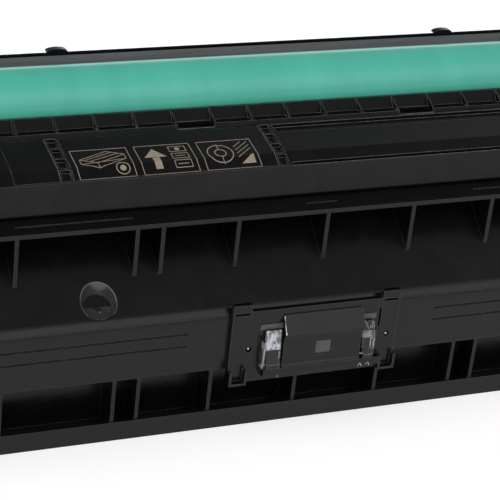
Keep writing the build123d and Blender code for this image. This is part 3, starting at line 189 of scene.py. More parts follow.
def start_finish(name, colour, roughness, metallic=0.0, specular=0.5):
    """A new material with its shader's plain values set."""
    material = bpy.data.materials.new(name)
    material.use_nodes = True
    shader = material.node_tree.nodes["Principled BSDF"]
    shader.inputs["Base Color"].default_value = (*colour, 1.0)
    shader.inputs["Roughness"].default_value = roughness
    shader.inputs["Metallic"].default_value = metallic
    shader.inputs["Specular IOR Level"].default_value = specular
    material.diffuse_color = (*colour, 1.0)
    return material, shader


def add(material, kind, **sockets):
    """A node in the material, with the named sockets set."""
    node = material.node_tree.nodes.new(kind)
    for name, value in sockets.items():
        node.inputs[name.replace("_", " ")].default_value = value
    return node


def link(material, output, socket):
    material.node_tree.links.new(output, socket)


def place(material, stretch=(1.0, 1.0, 1.0)):
    """Object coordinates, stretched."""
    coordinates = add(material, "ShaderNodeTexCoord")
    mapping = add(material, "ShaderNodeMapping", Scale=stretch)
    link(material, coordinates.outputs["Object"], mapping.inputs["Vector"])
    return mapping.outputs["Vector"]


def noise(material, scale, detail=2.0, stretch=(1.0, 1.0, 1.0)):
    """A grey noise pattern; scale is in cells per metre."""
    texture = add(material, "ShaderNodeTexNoise", Scale=scale, Detail=detail)
    link(material, place(material, stretch), texture.inputs["Vector"])
    return texture.outputs["Fac"]


def ranged(material, factor, low, high, start=0.3, end=0.7):
    """The factor spread from low to high."""
    node = add(material, "ShaderNodeMapRange")
    for name, value in (("From Min", start), ("From Max", end), ("To Min", low), ("To Max", high)):
        node.inputs[name].default_value = value
    link(material, factor, node.inputs["Value"])
    return node.outputs["Result"]


def mixed(material, factor, first, second):
    """Two colours mixed by a factor; either may be a plain colour or a socket."""
    node = material.node_tree.nodes.new("ShaderNodeMix")
    node.data_type = "RGBA"
    link(material, factor, node.inputs["Factor"])
    for socket, value in ((node.inputs[6], first), (node.inputs[7], second)):
        if isinstance(value, bpy.types.NodeSocket):
            link(material, value, socket)
        else:
            socket.default_value = (*value, 1.0)
    return node.outputs[2]


def rounded_edges(material, radius):
    """A normal that rounds the sharp edges, and a mask that is bright along them, which the finishes use to
    paint highlights on the edges.
    """
    bevel = add(material, "ShaderNodeBevel", Radius=radius)
    geometry = material.node_tree.nodes.new("ShaderNodeNewGeometry")
    likeness = material.node_tree.nodes.new("ShaderNodeVectorMath")
    likeness.operation = "DOT_PRODUCT"
    link(material, bevel.outputs["Normal"], likeness.inputs[0])
    link(material, geometry.outputs["Normal"], likeness.inputs[1])
    edge = ranged(material, likeness.outputs["Value"], 1.0, 0.0, 0.70, 0.995)
    return bevel.outputs["Normal"], edge


def bumped(material, shader, height, depth, normal=None):
    """Bump of a real depth on the shader's normal."""
    node = add(material, "ShaderNodeBump", Strength=1.0, Distance=depth)
    link(material, height, node.inputs["Height"])
    if normal is not None:
        link(material, normal, node.inputs["Normal"])
    link(material, node.outputs["Normal"], shader.inputs["Normal"])


def tinted(material, shader, pattern, first, second):
    """The pattern as the shader's colour, from the first colour to the second."""
    tone = mixed(material, ranged(material, pattern, 0.0, 1.0), first, second)
    link(material, tone, shader.inputs["Base Color"])


def scaled(colour, factor):
    return tuple(min(1.0, channel * factor) for channel in colour)


# Finishes

def moulded_plastic(name, colour, edge_highlight, roughness, specular=0.29):
    """Injection moulded black plastic: fine spark grain, faint flow marks, and a painted highlight along the
    edges, broken up by noise.
    """
    material, shader = start_finish(name, colour, roughness, specular=specular)
    normal, edge = rounded_edges(material, 0.36 * MM)
    flow = noise(material, 38.0, 3.0, (0.35, 1.0, 1.6))
    body = mixed(material, ranged(material, flow, 0.0, 1.0), scaled(colour, 0.85), scaled(colour, 1.2))
    highlight_breaks = noise(material, 240.0, 3.0)
    # Painted highlight: the edge mask, broken up by noise, mixes the light edge colour into the black.
    highlight_mask = material.node_tree.nodes.new("ShaderNodeMath")
    highlight_mask.operation = "MULTIPLY"
    link(material, edge, highlight_mask.inputs[0])
    link(material, ranged(material, highlight_breaks, 0.45, 1.0), highlight_mask.inputs[1])
    link(material, mixed(material, highlight_mask.outputs[0], body, edge_highlight), shader.inputs["Base Color"])
    spread = noise(material, 90.0, 4.0)
    link(material, ranged(material, spread, roughness - 0.05, roughness + 0.06), shader.inputs["Roughness"])
    bumped(material, shader, noise(material, 2600.0, 2.0), 0.003 * MM, normal)
    return material


def drum_coating(colours):
    """Glossy photoconductor: green under a clear layer, with faint dip-coating rings."""
    material, shader = start_finish("drum_green", colours.drum, 0.30, specular=0.2)
    rings = noise(material, 60.0, 3.0, (1.0, 0.02, 0.02))
    tinted(material, shader, rings, scaled(colours.drum, 0.93), scaled(colours.drum, 1.05))
    shader.inputs["Coat Weight"].default_value = 0.3
    shader.inputs["Coat Roughness"].default_value = 0.07
    shader.inputs["Coat IOR"].default_value = 1.5
    haze = noise(material, 45.0, 2.0, (0.1, 1.0, 1.0))
    link(material, ranged(material, haze, 0.27, 0.33), shader.inputs["Roughness"])
    bumped(material, shader, noise(material, 260.0, 1.0, (0.01, 1.0, 1.0)), 0.0004 * MM)
    return material


def acetal(colours):
    """Natural acetal of gears and bushes, with a painted highlight along the edges."""
    material, shader = start_finish("acetal", colours.acetal, 0.38)
    normal, edge = rounded_edges(material, 0.15 * MM)
    cloud = noise(material, 120.0, 3.0)
    shades = scaled(colours.acetal, 0.94), scaled(colours.acetal, 1.05)
    body = mixed(material, ranged(material, cloud, 0.0, 1.0), *shades)
    # Painted highlight: the edge mask paints the edges lighter than the acetal's body.
    link(material, mixed(material, edge, body, scaled(colours.acetal, 1.15)), shader.inputs["Base Color"])
    shader.inputs["Subsurface Weight"].default_value = 0.08
    shader.inputs["Subsurface Scale"].default_value = 0.8 * MM
    link(material, ranged(material, noise(material, 500.0), 0.33, 0.45), shader.inputs["Roughness"])
    bumped(material, shader, noise(material, 1800.0), 0.003 * MM, normal)
    return material


def worked_metal(name, colour, roughness, stretch):
    """Drawn or rolled metal, with its scratches along one axis."""
    material, shader = start_finish(name, colour, roughness, metallic=1.0)
    normal, _ = rounded_edges(material, 0.12 * MM)
    scratches = noise(material, 3200.0, 3.0, stretch)
    tinted(material, shader, scratches, scaled(colour, 0.86), scaled(colour, 1.1))
    spread = ranged(material, scratches, roughness - 0.07, roughness + 0.09)
    link(material, spread, shader.inputs["Roughness"])
    bumped(material, shader, scratches, 0.003 * MM, normal)
    return material


def rubber(colours):
    """Conductive rubber, matt, with a ground surface."""
    material, shader = start_finish("rubber", colours.rubber, 0.62, specular=0.3)
    ground = noise(material, 2200.0, 3.0, (0.5, 1.0, 1.0))
    tinted(material, shader, ground, scaled(colours.rubber, 0.8), scaled(colours.rubber, 1.25))
    link(material, ranged(material, ground, 0.55, 0.70), shader.inputs["Roughness"])
    bumped(material, shader, ground, 0.006 * MM)
    return material


def blasted_sleeve(colours):
    """Bead-blasted sleeve with its dark coat."""
    material, shader = start_finish("blasted_sleeve", colours.sleeve, 0.5, metallic=0.7)
    beads = noise(material, 4200.0, 2.0)
    tinted(material, shader, beads, scaled(colours.sleeve, 0.8), scaled(colours.sleeve, 1.2))
    link(material, ranged(material, beads, 0.42, 0.58), shader.inputs["Roughness"])
    bumped(material, shader, beads, 0.008 * MM)
    return material


def ferrite():
    """Bonded magnet."""
    grey = (0.05, 0.048, 0.046)
    material, shader = start_finish("ferrite", grey, 0.65)
    grit = noise(material, 1400.0, 3.0)
    tinted(material, shader, grit, scaled(grey, 0.7), scaled(grey, 1.4))
    bumped(material, shader, grit, 0.01 * MM)
    return material


def clear_acrylic():
    """Clear moulded acrylic of the light guides."""
    material, shader = start_finish("clear_acrylic", (0.96, 0.97, 0.98), 0.04)
    shader.inputs["Transmission Weight"].default_value = 1.0
    shader.inputs["IOR"].default_value = 1.49
    ripple = noise(material, 420.0, 2.0)
    link(material, ranged(material, ripple, 0.02, 0.09), shader.inputs["Roughness"])
    bumped(material, shader, ripple, 0.02 * MM)
    return material


def pale_facet(name, pale, shade):
    """Pale colour with darker clouds for the bars in the light guides, which paint the guides' reflections.
    """
    material, shader = start_finish(name, pale, 0.25)
    frost = noise(material, 420.0, 3.0)
    clouds = ranged(material, frost, 0.0, 1.0, 0.38, 0.56)
    link(material, mixed(material, clouds, scaled(pale, shade), pale), shader.inputs["Base Color"])
    bumped(material, shader, frost, 0.02 * MM)
    return material


def grey_translucent(colours):
    """Smoked grey plastic of the sensor's window and pads."""
    material, shader = start_finish("smoked_grey", colours.pad, 0.35)
    cloud = noise(material, 600.0, 3.0)
    tinted(material, shader, cloud, scaled(colours.pad, 0.8), scaled(colours.pad, 1.15))
    link(material, ranged(material, cloud, 0.28, 0.42), shader.inputs["Roughness"])
    bumped(material, shader, cloud, 0.004 * MM)
    return material


def grey_foil(colours):
    """Grey painted reflection on the housing's glossy lip, with faint lines along it."""
    material, shader = start_finish("grey_foil", colours.foil, 0.32, specular=0.35)
    lengthwise_noise = noise(material, 900.0, 3.0, (0.03, 1.0, 1.0))
    tinted(material, shader, lengthwise_noise, scaled(colours.foil, 0.85), scaled(colours.foil, 1.12))
    link(material, ranged(material, lengthwise_noise, 0.28, 0.40), shader.inputs["Roughness"])
    bumped(material, shader, lengthwise_noise, 0.002 * MM)
    return material


def polyester_film():
    """Clear springy film of the agitator, dusted with toner."""
    pale, dusty = (0.42, 0.42, 0.40), (0.12, 0.12, 0.12)
    material, shader = start_finish("polyester_film", pale, 0.18)
    dust = noise(material, 160.0, 4.0)
    tinted(material, shader, dust, pale, dusty)
    link(material, ranged(material, dust, 0.12, 0.45), shader.inputs["Roughness"])
    return material


def circuit_board(colours):
    """Lacquered board with darker tracks."""
    material, shader = start_finish("circuit_board", colours.board, 0.28)
    tracks = material.node_tree.nodes.new("ShaderNodeTexBrick")
    tracks.inputs["Scale"].default_value = 420.0
    link(material, place(material), tracks.inputs["Vector"])
    tracks.inputs["Color1"].default_value = (*colours.board, 1.0)
    tracks.inputs["Color2"].default_value = (*scaled(colours.board, 1.25), 1.0)
    tracks.inputs["Mortar"].default_value = (*scaled(colours.board, 0.5), 1.0)
    link(material, tracks.outputs["Color"], shader.inputs["Base Color"])
    bumped(material, shader, tracks.outputs["Fac"], 0.01 * MM)
    return material


def polyethylene():
    """Soft pale stopper."""
    pale = (0.62, 0.62, 0.60)
    material, shader = start_finish("polyethylene", pale, 0.5)
    cloud = noise(material, 300.0, 3.0)
    tinted(material, shader, cloud, scaled(pale, 0.85), pale)
    bumped(material, shader, noise(material, 1500.0), 0.006 * MM)
    return material


def printed_ink(colours):
    """Pad-printed ink, a little broken over the cover's grain."""
    material, shader = start_finish("printed_ink", colours.ink, 0.55)
    breaks = noise(material, 1800.0, 3.0)
    tinted(material, shader, breaks, scaled(colours.ink, 0.75), scaled(colours.ink, 1.08))
    bumped(material, shader, breaks, 0.004 * MM)
    return material


def dress(slot, material):
    """Gives a finish to every CAD node of a material slot."""
    dressed = [name for name, slot_name in SLOT_OF.items() if slot_name == slot]
    if not dressed:
        raise RuntimeError(f"no node has the slot {slot}")
    for name in dressed:
        NODES[name].material_slots[0].material = material


# Small tools for meshes

def finish_piece(shape, name, material, body, replaced=()):
    """Makes the bmesh a piece of the object, carried by a body."""
    mesh = bpy.data.meshes.new(name)
    shape.to_mesh(mesh)
    shape.free()
    mesh.materials.append(material)
    piece = bpy.data.objects.new(name, mesh)
    bpy.context.scene.collection.objects.link(piece)
    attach(piece, body)
    if replaced:
        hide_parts(*replaced)
    return piece


def drop_on(node, point, above=1.0):
    """The height of a CAD node's top under a point, seen from a height."""
    start = Vector((point[0], point[1], above))
    hit, top, _, _ = NODES[node].ray_cast(start, Vector((0.0, 0.0, -1.0)))
    if not hit:
        raise RuntimeError(f"{node} isn't under {point}")
    return top.z


# How far a printed line runs past its two ends, in line widths: under 1, so that no two corners coincide
CORNER_REACH = 0.9


def add_bar(shape, start, end, width):
    """A printed line from one point of the flat panel to another."""
    start, end = Vector(start), Vector(end)
    run = end - start
    turn = Matrix.Rotation(math.atan2(run.y, run.x), 4, "Z")
    middle = Matrix.Translation(((start + end) / 2).to_3d())
    size = Matrix.Diagonal((run.length + CORNER_REACH * width, width, 1.0, 1.0))
    bmesh.ops.create_grid(shape, x_segments=1, y_segments=1, size=0.5, matrix=middle @ turn @ size)


def add_outline(shape, points, width):
    """Printed lines round a closed outline."""
    for start, end in zip(points, points[1:] + points[:1]):
        add_bar(shape, start, end, width)


def add_ring(shape, centre, radius, width):
    """A printed ring."""
    made = bmesh.ops.create_circle(
        shape, cap_ends=True, segments=28, radius=radius, matrix=Matrix.Translation((*centre, 0.0))
    )
    disc = made["verts"][0].link_faces[0]
    bmesh.ops.inset_individual(shape, faces=[disc], thickness=width)
    bmesh.ops.delete(shape, geom=[disc], context="FACES")


def add_wedge(shape, corners):
    """A filled printed polygon."""
    shape.faces.new([shape.verts.new((*corner, 0.0)) for corner in corners])


def add_block(shape, low, high, edge=0.0):
    """A box between two corners, with its edges rounded."""
    low, high = Vector(low), Vector(high)
    size = high - low
    fit = Matrix.Translation((low + high) / 2) @ Matrix.Diagonal((*size, 1.0))
    made = bmesh.ops.create_cube(shape, size=1.0, matrix=fit)
    if edge > 0.0:
        round_edges(shape, edges_of(made["verts"]), edge)
    return made["verts"]


def edges_of(verts):
    """The edges that meet the vertices, each once and always in the same order."""
    return list(dict.fromkeys(edge for vert in verts for edge in vert.link_edges))


def round_edges(shape, edges, radius, segments=2):
    bmesh.ops.bevel(
        shape, geom=edges, offset=radius, segments=segments, profile=0.5, affect="EDGES", material=-1
    )


# Operators

class CARTRIDGE_OT_dress_mouldings(Operator):
    """Gives the hopper, cover, housing, caps and sensor plate their black moulded finishes"""
    bl_idname = "cartridge.dress_mouldings"
    bl_label = "Dress Mouldings"

    def execute(self, context):
        colours = context.scene.cartridge_colours
        # These light edge colours paint highlights along the edges: faint on the hopper, doubled on the cover
        # and the guide.
        faint = scaled(colours.edge_highlight, 0.45)
        dress("black_plastic", moulded_plastic("hopper_black", colours.moulding, faint, 0.25))
        bright = scaled(colours.edge_highlight, 2.0)
        dress("cover_plastic", moulded_plastic("cover_black", colours.cover, bright, 0.27))
        dress("cap_plastic", moulded_plastic("cap_black", colours.moulding, colours.edge_highlight, 0.30))
        dress("sensor_plastic", moulded_plastic("sensor_black", colours.cover, colours.edge_highlight, 0.24))
        guide = moulded_plastic("guide_black", colours.moulding, bright, 0.28, 0.10)
        NODES["ribbed_guide"].material_slots[0].material = guide
        return {"FINISHED"}


class CARTRIDGE_OT_dress_drum(Operator):
    """Gives the drum its green photoconductor coating"""
    bl_idname = "cartridge.dress_drum"
    bl_label = "Dress Drum"

    def execute(self, context):
        dress("drum_coating", drum_coating(context.scene.cartridge_colours))
        return {"FINISHED"}


class CARTRIDGE_OT_dress_rollers(Operator):
    """Gives the rollers, blades and magnet their finishes"""
    bl_idname = "cartridge.dress_rollers"
    bl_label = "Dress Rollers"

    def execute(self, context):
        colours = context.scene.cartridge_colours
        dress("rubber", rubber(colours))
        dress("sleeve_metal", blasted_sleeve(colours))
        dress("magnet", ferrite())
        dress("film", polyester_film())
        return {"FINISHED"}


class CARTRIDGE_OT_dress_drive(Operator):
    """Gives the gears, bushes, shafts, brackets and screws their finishes"""
    bl_idname = "cartridge.dress_drive"
    bl_label = "Dress Drive"

    def execute(self, context):
        colours = context.scene.cartridge_colours
        dress("gear_plastic", acetal(colours))
        dress("steel", worked_metal("plated_steel", colours.steel, 0.28, (0.05, 1.0, 1.0)))
        return {"FINISHED"}


class CARTRIDGE_OT_dress_fittings(Operator):
    """Gives the contacts, memory board, stopper, sensor window and pads their finishes"""
    bl_idname = "cartridge.dress_fittings"
    bl_label = "Dress Fittings"

    def execute(self, context):
        colours = context.scene.cartridge_colours
        dress("contact_metal", worked_metal("plated_contact", colours.contact, 0.22, (1.0, 0.06, 1.0)))
        dress("board", circuit_board(colours))
        dress("plug_plastic", polyethylene())
        dress("grey_plastic", grey_translucent(colours))
        dress("clear_plastic", clear_acrylic())
        return {"FINISHED"}


# Panels: lines between two points, rings as centre and radius, and filled wedges, in shares of the panel

BLOCK_PANEL = (
    ("outline", (0.10, 0.62), (0.62, 0.90), (0.92, 0.74), (0.40, 0.46)),
    ("line", (0.10, 0.62), (0.10, 0.44)),
    ("line", (0.40, 0.46), (0.40, 0.28)),
    ("line", (0.92, 0.74), (0.92, 0.56)),
    ("outline", (0.10, 0.44), (0.40, 0.28), (0.92, 0.56), (0.92, 0.56)),
    ("line", (0.20, 0.60), (0.68, 0.84)),
    ("line", (0.30, 0.55), (0.80, 0.79)),
    ("ring", (0.80, 0.24), 0.125),
    ("disc", (0.80, 0.24), 0.055),
)
ARROW_PANEL = (
    ("wedge", (0.10, 0.52), (0.30, 0.86), (0.50, 0.52)),
    ("wedge", (0.235, 0.14), (0.365, 0.14), (0.365, 0.50), (0.235, 0.50)),
    ("outline", (0.60, 0.14), (0.90, 0.14), (0.90, 0.34), (0.60, 0.34)),
    ("outline", (0.60, 0.42), (0.90, 0.42), (0.90, 0.62), (0.60, 0.62)),
    ("outline", (0.60, 0.70), (0.90, 0.70), (0.90, 0.90), (0.60, 0.90)),
    ("line", (0.66, 0.24), (0.84, 0.24)),
    ("line", (0.66, 0.52), (0.84, 0.52)),
    ("disc", (0.75, 0.80), 0.045),
)
TURN_PANEL = (
    ("ring", (0.34, 0.50), 0.24),
    ("ring", (0.34, 0.50), 0.11),
    ("line", (0.34, 0.66), (0.34, 0.86)),
    ("line", (0.34, 0.14), (0.34, 0.34)),
    ("wedge", (0.66, 0.12), (0.92, 0.12), (0.92, 0.40)),
    ("line", (0.64, 0.30), (0.92, 0.62)),
    ("line", (0.64, 0.44), (0.92, 0.76)),
    ("line", (0.64, 0.58), (0.92, 0.90)),
    ("line", (0.64, 0.72), (0.80, 0.90)),
)


def draw_panel(shape, low, size, marks, width):
    """The panel's frame and its marks, flat."""
    def at(share):
        return Vector((low.x + share[0] * size.x, low.y + share[1] * size.y))

    add_outline(shape, [at(corner) for corner in ((0, 0), (1, 0), (1, 1), (0, 1))], width)
    for kind, *points in marks:
        if kind == "line":
            add_bar(shape, at(points[0]), at(points[1]), width)
        elif kind == "outline":
            add_outline(shape, [at(point) for point in points], width)
        elif kind == "ring":
            add_ring(shape, at(points[0]), points[1] * size.x, 1.4 * width)
        elif kind == "disc":
            bmesh.ops.create_circle(
                shape, cap_ends=True, segments=16, radius=points[1] * size.x,
                matrix=Matrix.Translation(at(points[0]).to_3d()),
            )
        elif kind == "wedge":
            add_wedge(shape, [at(point) for point in points])


def lay_on_cover(shape, bend_y, rise):
    """Folds flat ink over the cover's bend and gives it its thickness."""
    bmesh.ops.bisect_plane(
        shape, geom=shape.verts[:] + shape.edges[:] + shape.faces[:],
        plane_co=(0.0, bend_y, 0.0), plane_no=(0.0, 1.0, 0.0),
    )
    for vert in shape.verts:
        vert.co.z = drop_on("hopper_cover", vert.co)
    bmesh.ops.recalc_face_normals(shape, faces=shape.faces)
    for face in shape.faces:
        if face.normal.z < 0.0:
            face.normal_flip()
    raised = bmesh.ops.extrude_face_region(shape, geom=shape.faces[:], use_keep_orig=True)
    tops = [item for item in raised["geom"] if isinstance(item, bmesh.types.BMVert)]
    bmesh.ops.translate(shape, verts=tops, vec=(0.0, 0.0, rise))
    bmesh.ops.recalc_face_normals(shape, faces=shape.faces)


class CARTRIDGE_OT_print_panels(Operator):
    """Prints the three beige panels on the cover"""
    bl_idname = "cartridge.print_panels"
    bl_label = "Print Panels"

    def execute(self, context):
        sizes = context.scene.cartridge_print
        ink = printed_ink(context.scene.cartridge_colours)
        for number, marks in enumerate((BLOCK_PANEL, ARROW_PANEL, TURN_PANEL)):
            shape = bmesh.new()
            low = Vector((sizes.first + number * sizes.pitch, BELLY_Y + sizes.front))
            draw_panel(shape, low, Vector((sizes.width, sizes.depth)), marks, sizes.line)
            lay_on_cover(shape, BELLY_Y + sizes.bend, sizes.ink_rise)
            finish_piece(shape, f"printed_panel_{number + 1}", ink, "frame")
        return {"FINISHED"}


class CARTRIDGE_OT_gate_and_lip_reflection(Operator):
    """Models the polished bowl in the moulding gate, and the grey strip along the housing's lip that paints
    its reflection
    """
    bl_idname = "cartridge.gate_and_seal"
    bl_label = "Model Gate And Seal"

    def execute(self, context):
        sizes = context.scene.cartridge_details
        colours = context.scene.cartridge_colours
        # The lighter gate colour paints the reflection on the bowl's wall.
        polished = moulded_plastic("gate_black", colours.gate, colours.gate, 0.16, 0.8)
        finish_piece(gate_insert(sizes), "gate_insert", polished, "frame")
        finish_piece(lip_seal(sizes), "lip_seal", grey_foil(colours), "frame")
        return {"FINISHED"}


def gate_insert(sizes):
    """A coned bowl in the gate's recess, with a dimple and the broken-off stub of the sprue."""
    shape = bmesh.new()
    lean = gate_frame(sizes)
    rim_radius = sizes.gate_radius + 0.1 * MM
    columns = []
    for number in range(ROUND_SEGMENTS):
        turn = math.tau * number / ROUND_SEGMENTS
        way = Vector((math.cos(turn), math.sin(turn), 0.0))
        top = gate_rim(lean, way * rim_radius)
        columns.append([
            lean @ (way * radius + Vector((0.0, 0.0, height)))
            for radius, height in gate_profile(sizes, top, way.y)
        ])
    rings = []
    for points in zip(*columns):
        made = bmesh.ops.create_circle(shape, segments=ROUND_SEGMENTS, radius=1.0)
        for vert, point in zip(made["verts"], points):
            vert.co = point
        rings.append(edges_of(made["verts"]))
    for first, second in zip(rings, rings[1:]):
        bmesh.ops.bridge_loops(shape, edges=first + second)
    bmesh.ops.holes_fill(shape, edges=rings[0] + rings[-1])
    stub_middle = (0.5 * MM, -2.2 * MM, sizes.gate_floor + 0.25 * MM)
    stub_foot, stub_tip, stub_length = 0.55 * MM, 0.25 * MM, 0.6 * MM
    bmesh.ops.create_cone(
        shape, cap_ends=True, segments=20, radius1=stub_foot, radius2=stub_tip, depth=stub_length,
        matrix=lean @ Matrix.Translation(stub_middle),
    )
    bmesh.ops.recalc_face_normals(shape, faces=shape.faces)
    return shape


def gate_frame(sizes):
    """The recess's own frame: its origin in the middle of the recess's floor, its Z out along the recess."""
    back = BELLY_Y + sizes.gate_back + sizes.gate_depth * math.sin(sizes.gate_tilt)
    beside_dimple = sizes.gate_x + 2.5 * MM
    floor = drop_on("hopper_body", (beside_dimple, back), sizes.gate_roof)
    return Matrix.Translation((sizes.gate_x, back, floor)) @ Matrix.Rotation(sizes.gate_tilt, 4, "X")


def gate_rim(lean, spot):
    """How high the hopper's slope stands over a spot of the recess's floor."""
    reach = 10.5 * MM
    axis = lean.to_3x3() @ Vector((0.0, 0.0, 1.0))
    start = lean @ spot + axis * reach
    hit, slope, _, _ = NODES["hopper_body"].ray_cast(start, -axis)
    if not hit:
        raise RuntimeError("the gate's rim isn't under its roof")
    return reach - (slope - start).length


def gate_profile(sizes, top, rearward):
    """Radius and height of the bowl's rings, from its foot over the rim to the bottom of its dimple."""
    radius, floor = sizes.gate_radius, sizes.gate_floor
    rear, front = max(0.0, rearward), max(0.0, -rearward)
    cone = 1.1 * MM * (1.0 + rear)
    return (
        (radius - 0.03 * MM, 0.02 * MM),
        (radius + 0.3 * MM * front, top),
        (radius - 0.1 * MM, top + 0.25 * MM * front),
        (radius - 0.45 * MM, top - 0.3 * MM),
        (radius - cone, floor + 0.3 * MM),
        (radius - cone - 0.3 * MM, floor),
        (1.5 * MM, floor),
        (0.9 * MM, 0.05 * MM),
    )


def lip_seal(sizes):
    """A thin grey strip along the front of the cleaning housing, above the drum: a painted reflection on the
    housing's glossy front.
    """
    low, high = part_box("drum_frame")
    face = BELLY_Y + sizes.lip_front
    top = high.z - sizes.strip_drop
    short, sunk = 0.5 * MM, 0.02 * MM
    shape = bmesh.new()
    add_block(
        shape,
        (low.x + short, face - sizes.strip_thick, top - sizes.strip_width),
        (high.x - short, face + sunk, top),
    )
    return shape


class CARTRIDGE_OT_sensor_optics(Operator):
    """Models the sensor's clear light guides with painted reflections in them, and its pins"""
    bl_idname = "cartridge.sensor_optics"
    bl_label = "Model Sensor Optics"

    def execute(self, context):
        sizes = context.scene.cartridge_sensor
        colours = context.scene.cartridge_colours
        clear = clear_acrylic()
        pale_facets = {
            "left": pale_facet("frosted_left", (0.92, 0.95, 1.0), 0.22),
            "right": pale_facet("frosted_right", (0.34, 0.35, 0.38), 0.5),
        }
        for side, outward in (("left", -1), ("right", 1)):
            node = f"light_guide_{side}"
            guide = light_guide(node, outward, sizes)
            finish_piece(guide, f"clear_guide_{side}", clear, "frame", [node])
            # Painted reflections: pale bars where the clear guides look bright.
            streaks = painted_reflections(node, PAINTED_REFLECTIONS[side])
            finish_piece(streaks, f"reflector_{side}", pale_facets[side], "frame")
        finish_piece(tray_marks(), "tray_marks", pale_facets["right"], "frame")
        # Its doubled light edge colour paints a highlight along the lip's edges.
        lip_black = moulded_plastic("lip_black", colours.cover, scaled(colours.edge_highlight, 2.0), 0.24)
        finish_piece(hood_lip(), "hood_lip", lip_black, "frame")
        # Painted highlight: a pale bar on the hood's left edge.
        finish_piece(hood_edge(), "hood_edge", pale_facets["left"], "frame")
        steel = worked_metal("pin_steel", colours.steel, 0.2, (1.0, 1.0, 1.0))
        pins = bmesh.new()
        for x in (sizes.pin_left, sizes.pin_right):
            add_pin(pins, x, sizes)
        finish_piece(pins, "sensor_pins", steel, "frame")
        return {"FINISHED"}


def light_guide(node, outward, sizes):
    """A clear block with a sloped head and a lower step on its outer side."""
    low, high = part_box(node)
    step, play, slope = 1.6 * MM, 0.05 * MM, 2.2 * MM
    fin_back, fin_drop = 1.0 * MM, 4.5 * MM
    if outward < 0:
        head_x, fin_x = (low.x + step, high.x), (low.x, low.x + step - play)
    else:
        head_x, fin_x = (low.x, high.x - step), (high.x - step + play, high.x)
    shape = bmesh.new()
    head = add_block(shape, (head_x[0], low.y, low.z), (head_x[1], high.y, high.z))
    for vert in head:
        if vert.co.z > (low.z + high.z) / 2 and vert.co.y < (low.y + high.y) / 2:
            vert.co.y += slope
    round_edges(shape, edges_of(head), sizes.edge)
    add_block(
        shape, (fin_x[0], low.y + fin_back, low.z), (fin_x[1], high.y, high.z - fin_drop), sizes.edge
    )
    return shape


# Pale streaks in the light guides, painted reflections where the clear guides look bright: their middle from
# the guide's left edge, below its top and behind its front, then width and length, all in millimetres, and
# the lean to the right in degrees
PAINTED_REFLECTIONS = {
    "left": (
        (5.2, 5.3, 3.3, 6.8, 9.2, 0), (2.6, 3.8, 2.5, 0.5, 6.4, -9), (6.0, 4.9, 2.5, 0.6, 5.2, -30),
        (5.2, 0.8, 3.0, 6.6, 0.45, 0),
    ),
    "right": (
        (1.7, 2.6, 3.3, 0.5, 4.2, -24), (3.9, 2.6, 3.3, 0.5, 4.2, 24), (2.8, 7.2, 3.3, 4.4, 3.6, 0),
        (5.2, 5.2, 2.6, 0.4, 8.0, -6),
    ),
}


def painted_reflections(node, streaks):
    """Pale bars at the faces that turn the light inside a guide: painted reflections of these faces."""
    low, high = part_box(node)
    thick = 0.3 * MM
    shape = bmesh.new()
    for x, down, back, width, length, lean in streaks:
        centre = Vector((low.x + x * MM, low.y + back * MM, high.z - down * MM))
        add_streak(shape, centre, (width * MM, thick, length * MM), lean)
    return shape


def add_streak(shape, centre, size, lean):
    """A thin upright bar, leant to the right by some degrees, with its edges rounded."""
    turn = Matrix.Rotation(math.radians(lean), 4, "Y")
    add_lean_bar(shape, Matrix.Translation(centre) @ turn, size)


def add_lean_bar(shape, own_frame, size):
    """A thin bar in its own frame, with its edges rounded."""
    edge = 0.08 * MM
    made = bmesh.ops.create_cube(shape, size=1.0, matrix=own_frame @ Matrix.Diagonal((*size, 1.0)))
    round_edges(shape, edges_of(made["verts"]), edge, 1)


# Marks on the sensor's tray: place along X, height and length in millimetres, and lean in degrees
TRAY_MARKS = (
    (21.4, 28.6, 2.0, 24), (22.5, 28.4, 1.6, -28), (24.9, 28.7, 1.4, 30), (26.1, 28.6, 2.0, -26),
    (-17.6, 27.6, 1.3, -24),
)


def tray_marks():
    """Small moulded marks on the front of the sensor's tray."""
    low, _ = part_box("sensor_frame")
    width, thick = 0.4 * MM, 0.2 * MM
    shape = bmesh.new()
    for x, z, length, lean in TRAY_MARKS:
        add_streak(shape, Vector((x * MM, low.y, z * MM)), (width, thick, length * MM), lean)
    return shape


def hood_lip():
    """A sloped lip that closes the joint between the sensor's hood and its tray."""
    low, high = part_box("sensor_hood")
    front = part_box("sensor_frame")[0].y
    short, play, depth = 0.2 * MM, 0.05 * MM, 2.0 * MM
    foot, top, crest = low.z - 0.6 * MM, low.z + 1.0 * MM, front + 1.15 * MM
    shape = bmesh.new()
    lip = add_block(shape, (low.x + short, front + play, foot), (high.x - short, front + depth, top))
    for vert in lip:
        if vert.co.z > low.z and vert.co.y < front + depth / 2:
            vert.co.y = crest
    return shape


def hood_edge():
    """A pale bar along the left of the hood's sloped face, a painted highlight on that edge."""
    low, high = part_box("sensor_hood")
    shape = bmesh.new()
    middle = Vector((low.x + 0.05 * MM, low.y + 2.4 * MM, high.z - 4.1 * MM))
    hood_slope = Matrix.Rotation(math.radians(-30), 4, "X")
    width, thick, length = 0.4 * MM, 0.3 * MM, 8.4 * MM
    add_lean_bar(shape, Matrix.Translation(middle) @ hood_slope, (width, thick, length))
    return shape


